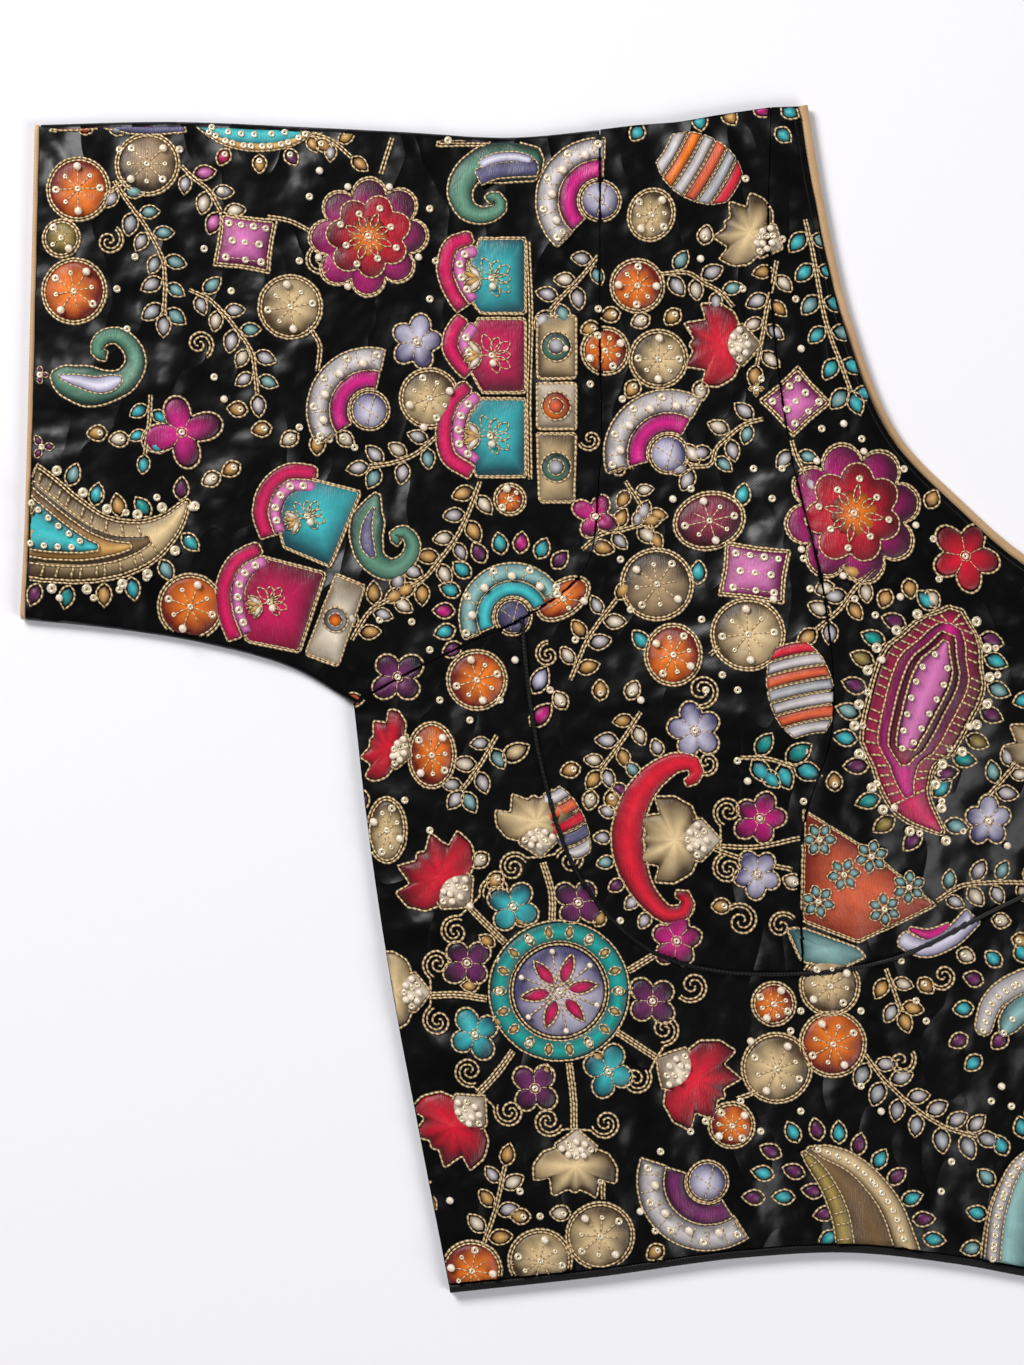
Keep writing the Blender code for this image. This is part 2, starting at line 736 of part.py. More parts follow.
def make_sleeve_piping(side):
    """Satin piping all round the sleeve's opening."""
    hem = edge("sleeve_hem", back=True)
    inner = hem[::-1] - np.array([SLEEVE_PIPING, 0.0])
    low, high = np.array([inner[-1], hem[0]]), np.array([hem[-1], inner[0]])
    loop, starts = joined(low, hem, high, inner)
    loop = inset(loop, side_margins(starts, len(loop), (FOLD_BULGE, 0.0, FOLD_BULGE, 0.0)))
    shell = Shell(name_of("sleeve_piping", side), "gold_satin", side)
    return flat_tube(shell, loop, {starts[0], starts[2]}, trim_top)


def neck_line(margin):
    """The neck edge of the +X half moved into the cloth by a margin, from the shoulder to the centre."""
    line = edge("neck", NECK_STEP)
    ahead = np.gradient(line, axis=0)
    into = np.column_stack([-ahead[:, 1], ahead[:, 0]]) / np.linalg.norm(ahead, axis=1)[:, None]
    moved = line + into * margin
    moved[-1, 0] = 0.0
    moved[0, 1] = line[0, 1]
    return moved


def make_neck_piping():
    """Satin piping of the neck: one length on the front, and one on each half of the back."""
    line = mirrored(neck_line(NECK_PIPING / 2.0))
    middle = np.full(len(line), 1.5 * WALL + SEAM_GAP)
    piping(Shell("neck_piping_front", "gold_satin"), line, middle, (NECK_PIPING, NECK_PIPING_HEIGHT))
    back = neck_line(BACK_NECK_DROP + NECK_PIPING / 2.0)
    back[-1, 0] = SEAM_GAP / 2.0
    low = np.full(len(back), BACK_PIPING_HEIGHT / 2.0)
    for side in (-1, 1):
        shell = Shell(name_of("neck_piping_back", side), "gold_satin", side)
        piping(shell, back, low, (NECK_PIPING, BACK_PIPING_HEIGHT))


def make_cup_piping(side):
    """Thin covered cord that lies along the cup seam, just above the cloth."""
    seam = spaced(CUP_LINE, PIPING_STEP)
    seam[-1, 0] = SEAM_GAP / 2.0
    centres = front_top(seam) + CUP_PIPING_LIFT + CUP_PIPING / 2.0
    piping(Shell(name_of("cup_piping", side), "black_cord", side), seam, centres, (CUP_PIPING, CUP_PIPING))


def make_hem_binding():
    """Narrow binding of the hem: one length on the front, and one on each half of the back."""
    line = edge("hem")
    ahead = np.gradient(line, axis=0)
    into = np.column_stack([ahead[:, 1], -ahead[:, 0]]) / np.linalg.norm(ahead, axis=1)[:, None]
    inner = line + into * HEM_BINDING
    inner[-1, 0] = 0.0
    inner[0] = line[0] + np.array([0.2, 1.0]) * HEM_BINDING
    whole = np.vstack([mirrored(line), mirrored(inner)[::-1]])
    panel(Shell("hem_binding_front", "black_satin"), turned(whole), (front_under, trim_top))
    half = np.vstack([line, inner[::-1]])
    half[:, 0] = np.maximum(half[:, 0], SEAM_GAP / 2.0)
    for side in (-1, 1):
        shell = Shell(name_of("hem_binding_back", side), "black_satin", side)
        panel(shell, turned(half), (level(0.0), level(WALL)))


def make_placket():
    """Underlap inside the centre back, which the closed opening lies on."""
    low = LINES["hem"][-1][1] + PLACKET_CLEAR
    high = LINES["neck"][-1][1] - PLACKET_CLEAR
    rows = np.linspace(low, high, PLACKET_STEPS)
    right = np.column_stack([np.full(PLACKET_STEPS, PLACKET_WIDTH / 2.0), rows])
    loop = np.vstack([right, right[::-1] * np.array([-1.0, 1.0])])
    floor = WALL + SEAM_GAP
    panel(Shell("back_placket", "black_satin"), turned(loop), (level(floor), level(floor + PLACKET_WALL)))


def main():
    """Makes every piece of the blouse."""
    clear_scene()
    make_front_band()
    for side in (-1, 1):
        make_side_cup(side)
        make_centre_cup(side)
        make_back(side)
        make_sleeve(side)
        make_sleeve_piping(side)
        make_cup_piping(side)
    make_neck_piping()
    make_hem_binding()
    make_placket()


main()
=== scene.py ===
"""Choli blouse laid flat on its back: satin panels, pipings and bindings, and the hand embroidery on them.

+X and -X run out along the sleeves, +Y runs up to the shoulders and +Z is up off the surface. Plan sizes are
given for the +X half, out from the centre front and up from the middle height, and are mirrored.
"""

from __future__ import annotations

import logging
import math
from dataclasses import dataclass, field
from enum import Enum
from typing import Callable, Iterable, Optional, Sequence, Union

import bpy
import numpy as np
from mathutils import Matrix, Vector
from mathutils.geometry import delaunay_2d_cdt


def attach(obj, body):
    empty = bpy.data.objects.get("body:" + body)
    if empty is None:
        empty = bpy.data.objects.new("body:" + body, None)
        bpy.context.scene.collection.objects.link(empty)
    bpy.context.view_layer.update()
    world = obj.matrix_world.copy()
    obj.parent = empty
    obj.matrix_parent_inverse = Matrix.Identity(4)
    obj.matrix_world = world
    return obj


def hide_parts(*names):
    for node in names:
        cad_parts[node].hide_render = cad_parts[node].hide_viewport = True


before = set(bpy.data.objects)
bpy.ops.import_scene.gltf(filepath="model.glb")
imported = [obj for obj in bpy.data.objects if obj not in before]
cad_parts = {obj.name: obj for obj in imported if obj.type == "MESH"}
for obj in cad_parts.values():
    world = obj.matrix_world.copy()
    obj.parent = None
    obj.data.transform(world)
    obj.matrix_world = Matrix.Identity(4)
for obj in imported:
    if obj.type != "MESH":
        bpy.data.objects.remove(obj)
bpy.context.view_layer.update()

LOG = logging.getLogger("blouse")
MM = 0.001
TAU = 2.0 * math.pi
FINE = 1.0e-7
Array = np.ndarray
Colour = tuple[float, float, float]
Height = Callable[[Array], Array]

# One pixel of the photograph on the cloth, and the pixel column and row of the plan's origin
PIXEL = 0.32
CENTRE_COLUMN = 1110.0
MIDDLE_ROW = 699.0
PHOTO_SIZE = (1024.0, 1365.0)


class Slot(str, Enum):
    """The record's material slots."""

    SATIN = "black_satin"
    CORD = "black_cord"
    GOLD = "gold_satin"


class Side(Enum):
    """The two halves as seen from above, with the neck at the top."""

    LEFT = -1
    RIGHT = 1

    @property
    def word(self) -> str:
        """The half's name in lower case."""
        return self.name.lower()


# Shaders

class Value:
    """A shader socket that takes part in arithmetic."""

    def __init__(self, graph: "Graph", socket: bpy.types.NodeSocket) -> None:
        """Wraps a socket of the graph."""
        self.graph = graph
        self.socket = socket

    def __add__(self, other: "Number") -> "Value":
        """Sum."""
        return self.graph.maths("ADD", self, other)

    def __radd__(self, other: "Number") -> "Value":
        """Sum, with the number first."""
        return self.graph.maths("ADD", other, self)

    def __sub__(self, other: "Number") -> "Value":
        """Difference."""
        return self.graph.maths("SUBTRACT", self, other)

    def __rsub__(self, other: "Number") -> "Value":
        """Difference, with the number first."""
        return self.graph.maths("SUBTRACT", other, self)

    def __mul__(self, other: "Number") -> "Value":
        """Product."""
        return self.graph.maths("MULTIPLY", self, other)

    def __rmul__(self, other: "Number") -> "Value":
        """Product, with the number first."""
        return self.graph.maths("MULTIPLY", other, self)

    def __pow__(self, other: "Number") -> "Value":
        """Power."""
        return self.graph.maths("POWER", self, other)

    def __abs__(self) -> "Value":
        """Size without its sign."""
        return self.graph.maths("ABSOLUTE", self)

    def sine(self) -> "Value":
        """Sine of the value, in radians."""
        return self.graph.maths("SINE", self)


Number = Union[float, Value]


class Graph:
    """One material's shader nodes."""

    def __init__(self, name: str) -> None:
        """Starts an empty material with the given name."""
        self.material = bpy.data.materials.new(name)
        self.material.use_nodes = True
        self.tree = self.material.node_tree
        self.tree.nodes.clear()

    def node(self, kind: str, settings: Optional[dict] = None, sockets: Optional[dict] = None,
             output: Union[int, str] = 0) -> Value:
        """Adds any node.

        Args:
            kind: the node's type.
            settings: its properties, set first, with a ramp's stops under the name stops.
            sockets: a number, colour or Value for each input, by name or place.
            output: the output that is wanted, by name or place.

        Returns:
            The output as a Value.
        """
        made = self.tree.nodes.new(kind)
        for name, setting in (settings or {}).items():
            if name == "stops":
                self._stops(made.color_ramp, setting)
            else:
                setattr(made, name, setting)
        for name, given in (sockets or {}).items():
            if isinstance(given, Value):
                self.tree.links.new(given.socket, made.inputs[name])
            else:
                made.inputs[name].default_value = given
        return Value(self, made.outputs[output])

    @staticmethod
    def _stops(ramp: bpy.types.ColorRamp, stops: Sequence[tuple[float, float]]) -> None:
        """Sets a grey ramp's stops, each a place and a grey."""
        while len(ramp.elements) < len(stops):
            ramp.elements.new(0.5)
        for element, (place, grey) in zip(ramp.elements, stops):
            element.position = place
            element.color = (grey, grey, grey, 1.0)

    def maths(self, operation: str, *values: Number) -> Value:
        """Adds a Math node on values and numbers, and returns its result."""
        return self.node("ShaderNodeMath", {"operation": operation}, dict(enumerate(values)))

    def mix(self, factor: Number, first: Union[Value, Colour], second: Union[Value, Colour],
            blend: str = "MIX") -> Value:
        """Mixes two colours.

        Args:
            factor: the share of the second colour.
            first: the colour at factor 0.
            second: the colour at factor 1.
            blend: how they are mixed.

        Returns:
            The mixed colour.
        """
        pair = [one if isinstance(one, Value) else (*one, 1.0) for one in (first, second)]
        sockets = {0: factor, 6: pair[0], 7: pair[1]}
        return self.node("ShaderNodeMix", {"data_type": "RGBA", "blend_type": blend}, sockets, 2)

    def place(self, stretch: tuple[float, float, float] = (1.0, 1.0, 1.0), turn: float = 0.0) -> Value:
        """The point's place on the object, stretched along each axis after a turn about Z."""
        spot = self.node("ShaderNodeTexCoord", output="Object")
        sockets = {"Vector": spot, "Rotation": (0.0, 0.0, turn), "Scale": stretch}
        return self.node("ShaderNodeMapping", {}, sockets)

    def noise(self, where: Value, size: float, detail: float = 2.0) -> Value:
        """Soft noise from 0 to 1 with lumps about `size` metres across."""
        sockets = {"Vector": where, "Scale": 1.0 / size, "Detail": detail}
        return self.node("ShaderNodeTexNoise", {}, sockets)

    def wave(self, where: Value, pitch: float, direction: str) -> Value:
        """Stripes a `pitch` in metres apart across the given axis."""
        # One band of Blender's wave texture at scale 1 is pi / 10 wide.
        sockets = {"Vector": where, "Scale": math.pi / 10.0 / pitch}
        return self.node("ShaderNodeTexWave", {"bands_direction": direction}, sockets)

    def attribute(self, name: str, output: str) -> Value:
        """A value that the mesh holds at each point."""
        return self.node("ShaderNodeAttribute", {"attribute_name": name}, {}, output)

    def bump(self, height: Value, strength: float, depth: float, under: Optional[Value] = None) -> Value:
        """A normal from heights, `depth` metres deep, over another normal where one is given."""
        sockets = {"Height": height, "Strength": strength, "Distance": depth}
        if under:
            sockets["Normal"] = under
        return self.node("ShaderNodeBump", {}, sockets)

    def surface(self, **sockets: Union[Number, Colour]) -> bpy.types.Material:
        """Ends the material in a Principled shader, with its sockets' names in lower case and underscores."""
        named = {}
        for name, given in sockets.items():
            title = " ".join(word.capitalize() if word != "ior" else "IOR" for word in name.split("_"))
            named[title] = (*given, 1.0) if isinstance(given, tuple) else given
        shader = self.node("ShaderNodeBsdfPrincipled", {}, named)
        self._end(shader)
        return self.material

    def _end(self, shader: Value) -> None:
        """Links a shader to the material's output."""
        end = self.tree.nodes.new("ShaderNodeOutputMaterial")
        self.tree.links.new(shader.socket, end.inputs["Surface"])


@dataclass(frozen=True)
class BlackSatin:
    """Black dress satin: near black, with a fine twill and soft crumples that catch the light."""

    name: str = "black_satin_cloth"
    deep: Colour = (0.0003, 0.0003, 0.0004)
    raised_tone: Colour = (0.0014, 0.0013, 0.0015)
    crumple: float = 17.0 * MM
    twill: float = 0.7 * MM

    def make(self) -> bpy.types.Material:
        """Builds the material."""
        graph = Graph(self.name)
        flat = graph.place()
        broad = graph.noise(flat, self.crumple, 1.0)
        fine = graph.noise(flat, 0.45 * self.crumple, 1.5)
        twill = graph.wave(graph.place(turn=0.9), self.twill, "X")
        weave = graph.bump(twill, 0.1, 0.06 * MM)
        pulled = graph.noise(graph.place((1.0, 0.5, 1.0), 0.6), 1.1 * self.crumple, 1.0)
        pucker = (1.0 - abs(pulled * 2.0 - 1.0)) ** 4.0
        dents = graph.bump(broad * 0.72 + fine * 0.13 + pucker * 0.15, 1.0, 4.4 * MM, weave)
        # The base colour turns from deep towards the lighter tone where the broad crumples of the bump rise, and along
        # the twill.
        colour = graph.mix(broad * 0.7 + twill * 0.2, self.deep, self.raised_tone)
        return graph.surface(base_color=colour, roughness=0.27 + fine * 0.12, normal=dents,
                             sheen_weight=0.003, sheen_roughness=0.45, specular_ior_level=0.22)


@dataclass(frozen=True)
class CoveredCord:
    """Cord or binding covered in bias satin, with its threads slanting round it."""

    name: str
    deep: Colour
    light: Colour
    roughness: float
    gloss: float = 0.5
    sheen: float = 0.1

    def make(self) -> bpy.types.Material:
        """Builds the material."""
        graph = Graph(self.name)
        flat = graph.place()
        wear = graph.noise(flat, 9.0 * MM, 3.0)
        threads = graph.wave(graph.place(turn=0.8), 0.8 * MM, "Y")
        colour = graph.mix(wear * 0.8 + threads * 0.2, self.deep, self.light)
        normal = graph.bump(threads * 0.6 + wear, 0.35, 0.25 * MM)
        return graph.surface(base_color=colour, roughness=self.roughness + wear * 0.12, normal=normal,
                             sheen_weight=self.sheen, specular_ior_level=self.gloss)


@dataclass(frozen=True)
class PaleFloor:
    """Smooth pale paper under the blouse."""

    name: str = "pale_floor_paper"
    tone: Colour = (0.8, 0.79, 0.82)

    def make(self) -> bpy.types.Material:
        """Builds the material."""
        graph = Graph(self.name)
        grain = graph.noise(graph.place(), 4.0 * MM, 2.0)
        soft = tuple(0.985 * part for part in self.tone)
        return graph.surface(base_color=graph.mix(grain, soft, self.tone), roughness=0.9,
                             normal=graph.bump(grain, 0.05, 0.1 * MM))


# The plan: edges of one half, out from the centre front and up from the middle height, in mm

EDGES = {
    "neck": ((96.6, 190), (91.5, 159.7), (82.6, 121.3), (66.2, 82.9), (47.4, 63.7), (27.8, 46.7), (12, 37.5),
             (0, 35.5)),
    "neck_shoulder": ((96.6, 190), (108.5, 189.6)),
    "shoulder": ((108.5, 189.6), (124.8, 187.2), (137.6, 185), (150.4, 184), (163.2, 182.4)),
    "sleeve_top": ((163.2, 182.4), (190, 180), (227, 181.8), (259, 183.4), (300, 185), (344.2, 184)),
    "sleeve_hem": ((344.2, 184), (344.8, 159.7), (346.2, 102), (347.7, 51), (349, 25.5)),
    "sleeve_under": ((349, 25.5), (320.6, 22.7), (289, 17.6), (260.5, 9.3), (242.2, -1.5)),
    "armhole": ((163.2, 182.4), (163.4, 120), (163.6, 70), (168.5, 41), (188.3, 25.6)),
    "armhole_under": ((188.3, 25.6), (207, 17), (225, 8), (242.2, -1.5)),
    "side": ((242.2, -1.5), (238, -38.7), (230.4, -89.9), (220.8, -141.1), (211.2, -190.2)),
    "hem": ((211.2, -190.2), (163.2, -185), (116.8, -178.9), (85, -177.3), (48, -181.1), (22, -185.6),
            (0, -187)),
    "cup_seam_side": ((188.3, 25.6), (185.3, -3.2), (180.5, -27.5), (169.9, -56.6), (150, -78.5),
                      (98.6, -87.6)),
    "cup_seam_centre": ((98.6, -87.6), (72, -83.5), (36.8, -66.9), (0, -49)),
    "princess": ((108.5, 189.6), (109.4, 143.7), (103, 80), (92.5, 30), (90.9, -11.8), (98.6, -38),
                 (98.6, -87.6)),
}

# Edges that run on from each other in one smooth line
RUNS_ON = (("armhole", "armhole_under"), ("cup_seam_side", "cup_seam_centre"))


@dataclass(frozen=True)
class Fold:
    """A soft fold: its ends, half width and rise, in mm, with a trough where the rise is negative."""

    out: float
    up: float
    to_out: float
    to_up: float
    half_width: float
    rise: float


# The folds that the solids hold
MAIN_FOLDS = (
    Fold(238, 0, 196, -28, 12, 1.6), Fold(232, -60, 190, -84, 12, 1.2), Fold(226, -118, 196, -104, 11, 1.2),
    Fold(178, 172, 168, 70, 13, 1.5), Fold(252, 20, 216, 70, 13, 1.6), Fold(300, 34, 262, 96, 14, 1.2),
    Fold(336, 84, 286, 112, 12, 1.0), Fold(150, 60, 176, 34, 11, 1.3), Fold(66, 150, 72, 96, 11, 1.1),
    Fold(150, -100, 132, -176, 13, 1.3), Fold(62, -96, 48, -170, 13, 1.2), Fold(20, 22, 34, -44, 12, 1.1),
)

# Narrower creases, placed where the photograph shows them or the cloth would pull
CREASES = (
    Fold(336, 150, 318, 120, 5, 0.7), Fold(300, 158, 292, 128, 5, -0.6), Fold(283, 120, 268, 96, 5, 0.7),
    Fold(258, 112, 246, 118, 4, 0.6), Fold(322, 92, 300, 60, 5, 0.6), Fold(296, 62, 286, 46, 5, 0.6),
    Fold(255, 178, 249, 160, 4, 0.6), Fold(214, 176, 206, 140, 5, -0.5), Fold(228, 78, 236, 44, 5, 0.8),
    Fold(216, 60, 226, 22, 4, 0.7), Fold(206, 52, 212, 26, 4, -0.6), Fold(180, 160, 172, 132, 4, 0.8),
    Fold(174, 118, 166, 84, 4, 0.7), Fold(186, 60, 176, 44, 4, 0.7), Fold(157, 176, 150, 150, 5, 0.8),
    Fold(148, 184, 145, 160, 4, -0.6), Fold(139, 182, 134, 158, 4, 0.7), Fold(124, 184, 120, 152, 5, 0.6),
    Fold(112, 170, 110, 140, 5, -0.5), Fold(125, 132, 118, 108, 5, 0.7), Fold(158, 66, 150, 52, 4, 0.6),
    Fold(102, 70, 88, 78, 5, 0.6), Fold(98, 18, 82, 6, 5, 0.7), Fold(104, -4, 96, -26, 5, 0.6),
    Fold(170, 20, 160, 0, 4, 0.6), Fold(184, -30, 166, -46, 5, 0.7), Fold(234, -30, 214, -36, 5, 0.8),
    Fold(228, -74, 206, -70, 5, 0.7), Fold(222, -104, 204, -120, 5, 0.7), Fold(214, -160, 196, -150, 5, 0.6),
    Fold(188, -118, 180, -138, 5, 0.6), Fold(152, -108, 146, -132, 5, 0.7), Fold(118, -140, 112, -172, 5, 0.6),
    Fold(76, -92, 70, -118, 5, 0.7), Fold(50, -110, 46, -140, 5, -0.5), Fold(30, -90, 34, -130, 6, 0.7),
    Fold(20, -120, 16, -166, 6, 0.8), Fold(8, -64, 14, -104, 5, 0.6), Fold(40, 40, 50, 12, 5, 0.6),
    Fold(60, 30, 66, 2, 5, 0.5), Fold(14, 4, 22, -30, 5, 0.6), Fold(84, 120, 88, 92, 4, 0.6),
)

# Seams, edges and the front's stand off the back
WALL = 1.6 * MM
SEAM_GAP = 0.3 * MM
FOLD_BULGE = 1.7 * MM
NECK_PIPING = 3.0 * MM
NECK_PIPING_HEIGHT = 2.6 * MM
BACK_PIPING_HEIGHT = 1.4 * MM
BACK_NECK_DROP = 2.0 * MM
SLEEVE_PIPING = 1.6 * MM
CUP_PIPING = 1.4 * MM
CUP_PIPING_LIFT = 0.2 * MM
HEM_BINDING = 2.6 * MM
TRIM_PROUD = 0.3 * MM
PUFF = 3.6 * MM
PUFF_REACH = 30.0 * MM
CUP_RISE = 17.0 * MM
CUP_OUT = 88.0 * MM
CUP_UP = 2.0 * MM
CUP_WIDTH = 50.0 * MM
CUP_ABOVE = 72.0 * MM
CUP_BELOW = 58.0 * MM
CUP_SEAM_ROLL = 22.0 * MM
CUP_SLEEVE_ROLL = 9.0 * MM


class Curve:
    """Ways to draw and measure lines in the plan."""

    STEPS = 40

    @classmethod
    def smooth(cls, knots: Array) -> Array:
        """A smooth line through the knots, with STEPS points for each stretch between two of them."""
        steps = np.linalg.norm(np.diff(knots, axis=0), axis=1)
        reach = np.concatenate([[0.0], np.cumsum(steps)])
        slopes = np.gradient(knots, reach, axis=0)
        t = np.linspace(0.0, 1.0, cls.STEPS, endpoint=False)[:, None]
        points = []
        for index, step in enumerate(steps):
            leave, arrive = slopes[index] * step, slopes[index + 1] * step
            points.append((2 * t**3 - 3 * t**2 + 1) * knots[index] + (t**3 - 2 * t**2 + t) * leave
                          + (3 * t**2 - 2 * t**3) * knots[index + 1] + (t**3 - t**2) * arrive)
        return np.vstack([*points, knots[-1:]])

    @staticmethod
    def spaced(points: Array, step: float) -> Array:
        """The line's points again, evenly spaced and about `step` apart, with both ends kept."""
        reach = np.concatenate([[0.0], np.cumsum(np.linalg.norm(np.diff(points, axis=0), axis=1))])
        stations = np.linspace(0.0, reach[-1], max(1, round(reach[-1] / step)) + 1)
        return np.column_stack([np.interp(stations, reach, part) for part in points.T])

    @staticmethod
    def distance(points: Array, line: Array, batch: int = 8000) -> Array:
        """How far each plan point lies from the nearest point of a line, worked out in batches."""
        starts, along = line[:-1], np.diff(line, axis=0)
        square = np.maximum((along**2).sum(axis=1), FINE**2)
        found = []
        for first in range(0, len(points), batch):
            offset = points[first:first + batch, None, :] - starts[None, :, :]
            part = np.clip((offset * along).sum(axis=2) / square, 0.0, 1.0)
            found.append(np.sqrt(((offset - part[:, :, None] * along) ** 2).sum(axis=2)).min(axis=1))
        return np.concatenate(found) if found else np.empty(0)

    @staticmethod
    def inside(points: Array, loop: Array, batch: int = 8000) -> Array:
        """True for each plan point that lies inside the closed loop, worked out in batches."""
        (x0, y0), (x1, y1) = loop.T, np.roll(loop, -1, axis=0).T
        slope = (x1 - x0) / np.where(y1 != y0, y1 - y0, FINE)
        found = []
        for first in range(0, len(points), batch):
            x, y = points[first:first + batch].T[:, :, None]
            crosses = ((y0 > y) != (y1 > y)) & (x < slope * (y - y0) + x0)
            found.append(crosses.sum(axis=1) % 2 == 1)
        return np.concatenate(found) if found else np.zeros(0, dtype=bool)

    @staticmethod
    def area(loop: Array) -> float:
        """Area of a closed loop, positive where it runs anticlockwise."""
        after = np.roll(loop, -1, axis=0)
        return float((loop[:, 0] * after[:, 1] - loop[:, 1] * after[:, 0]).sum() / 2.0)

    @classmethod
    def turned(cls, loop: Array) -> Array:
        """The loop run anticlockwise, seen from above."""
        return loop if cls.area(loop) > 0.0 else loop[::-1]

    @staticmethod
    def inset(loop: Array, margins: Array) -> Array:
        """The anticlockwise loop moved inwards, each side from a corner to the next by its own margin."""
        after = np.roll(loop, -1, axis=0) - loop
        ahead = np.column_stack([-after[:, 1], after[:, 0]]) / np.linalg.norm(after, axis=1)[:, None]
        before = np.roll(ahead, 1, axis=0)
        gap_ahead, gap_before = margins, np.roll(margins, 1)
        turn = before[:, 0] * ahead[:, 1] - before[:, 1] * ahead[:, 0]
        soft = np.abs(turn) < 0.05
        safe = np.where(soft, 1.0, turn)
        x = (gap_before * ahead[:, 1] - gap_ahead * before[:, 1]) / safe
        y = (gap_ahead * before[:, 0] - gap_before * ahead[:, 0]) / safe
        level = (before + ahead) / 2.0 * ((gap_before + gap_ahead) / 2.0)[:, None]
        return loop + np.where(soft[:, None], level, np.column_stack([x, y]))

    @classmethod
    def grid(cls, loop: Array, step: float) -> Array:
        """Points of a staggered grid inside the loop and over half a step clear of it."""
        low, high = loop.min(axis=0), loop.max(axis=0)
        rows = np.arange(low[1] + step / 2.0, high[1], step * math.sqrt(0.75))
        columns = np.arange(low[0], high[0], step)
        x, y = np.meshgrid(columns, rows)
        x = x + step * (0.25 + 0.5 * (np.arange(len(rows))[:, None] % 2))
        points = np.column_stack([x.ravel(), y.ravel()])
        points = points[cls.inside(points, loop)]
        closed = np.vstack([loop, loop[:1]])
        return points[cls.distance(points, closed) > 0.55 * step] if len(points) else points


class Plan:
    """The blouse's edges, and the height of the cloth over every point of the plan."""

    def __init__(self) -> None:
        """Draws the edges and measures the heights once, on a close grid over one half."""
        self.lines = {name: Curve.smooth(np.array(knots, float) * MM) for name, knots in EDGES.items()}
        for first, second in RUNS_ON:
            whole = Curve.smooth(np.array(EDGES[first] + EDGES[second][1:], float) * MM)
            split = Curve.STEPS * (len(EDGES[first]) - 1)
            self.lines[first], self.lines[second] = whole[: split + 1], whole[split:]
        names = ("neck_shoulder", "shoulder", "sleeve_top", "sleeve_hem", "sleeve_under", "side", "hem")
        around = [self.lines["neck"][::-1], *(self.lines[name] for name in names)]
        self.outline = np.vstack(around)
        self.cup_line = np.vstack([self.lines["cup_seam_side"], self.lines["cup_seam_centre"]])
        self.grid_step = 1.0 * MM
        self.low = np.array([-4.0, -196.0]) * MM
        self.base = self._measured()

    def edge(self, name: str, step: float, back: bool = False) -> Array:
        """An edge's evenly spaced points, from its last point to its first where `back` is set."""
        points = Curve.spaced(self.lines[name], step)
        return points[::-1] if back else points

    def _measured(self) -> Array:
        """Heights of the front's inner face on the grid, as rows and columns."""
        columns = np.arange(self.low[0], 354.0 * MM, self.grid_step)
        rows = np.arange(self.low[1], 196.0 * MM, self.grid_step)
        x, y = np.meshgrid(columns, rows)
        points = np.column_stack([np.abs(x.ravel()), y.ravel()])
        rim = np.minimum(Curve.distance(points, Curve.spaced(self.outline, 4.0 * MM)) / PUFF_REACH, 1.0)
        swell = np.sin(0.5 * math.pi * rim)
        rise = self._folded(points, MAIN_FOLDS) * swell + self._cupped(points)
        return (WALL + SEAM_GAP + PUFF * swell + rise).reshape(x.shape)

    @staticmethod
    def _folded(points: Array, folds: Iterable[Fold]) -> Array:
        """Height that folds add at each plan point."""
        total = np.zeros(len(points))
        for fold in folds:
            start = np.array([fold.out, fold.up]) * MM
            along = np.array([fold.to_out, fold.to_up]) * MM - start
            length = np.linalg.norm(along)
            along = along / length
            offset = points - start
            across = np.abs(offset @ np.array([-along[1], along[0]])) / (fold.half_width * MM)
            taper = np.sin(math.pi * np.clip((offset @ along) / length, 0.0, 1.0))
            total += fold.rise * MM * taper * np.cos(0.5 * math.pi * np.minimum(across, 1.0)) ** 2
        return total

    def _cupped(self, points: Array) -> Array:
        """Height that a bust cup adds: nothing at the piped seam below it or at the sleeve's seam."""
        corners = np.vstack([self.cup_line, [[-PUFF_REACH, self.cup_line[-1][1]]],
                             [[-PUFF_REACH, self.lines["neck"][0][1]]], self.lines["armhole"]])
        out, up = points[:, 0] - CUP_OUT, points[:, 1] - CUP_UP
        reach = np.where(up > 0.0, CUP_ABOVE, CUP_BELOW)
        dome = np.exp(-((out / CUP_WIDTH) ** 2) - (up / reach) ** 2)
        seam = Curve.distance(points, Curve.spaced(self.cup_line, 4.0 * MM))
        sleeve = Curve.distance(points, Curve.spaced(self.lines["armhole"], 4.0 * MM))
        roll = np.clip(seam / CUP_SEAM_ROLL, 0.0, 1.0)
        ease = np.clip(sleeve / CUP_SLEEVE_ROLL, 0.0, 1.0)
        shape = roll**2 * (3.0 - 2.0 * roll) * ease * (2.0 - ease)
        return CUP_RISE * dome * shape * Curve.inside(points, corners)

    def under(self, points: Array) -> Array:
        """Height of the front's inner face at each plan point."""
        column = (np.abs(points[:, 0]) - self.low[0]) / self.grid_step
        row = (points[:, 1] - self.low[1]) / self.grid_step
        column = np.clip(column, 0.0, self.base.shape[1] - 1.001)
        row = np.clip(row, 0.0, self.base.shape[0] - 1.001)
        left, below = column.astype(int), row.astype(int)
        x, y = column - left, row - below
        lower = self.base[below, left] * (1 - x) + self.base[below, left + 1] * x
        upper = self.base[below + 1, left] * (1 - x) + self.base[below + 1, left + 1] * x
        return lower * (1 - y) + upper * y

    def top(self, points: Array) -> Array:
        """Height of the front's outer face, without creases."""
        return self.under(points) + WALL

    def creased(self, points: Array) -> Array:
        """Height of the front's outer face, with its creases and small crumples."""
        half = np.column_stack([np.abs(points[:, 0]), points[:, 1]])
        return self.top(points) + self._folded(half, CREASES) + self.crumple(points)

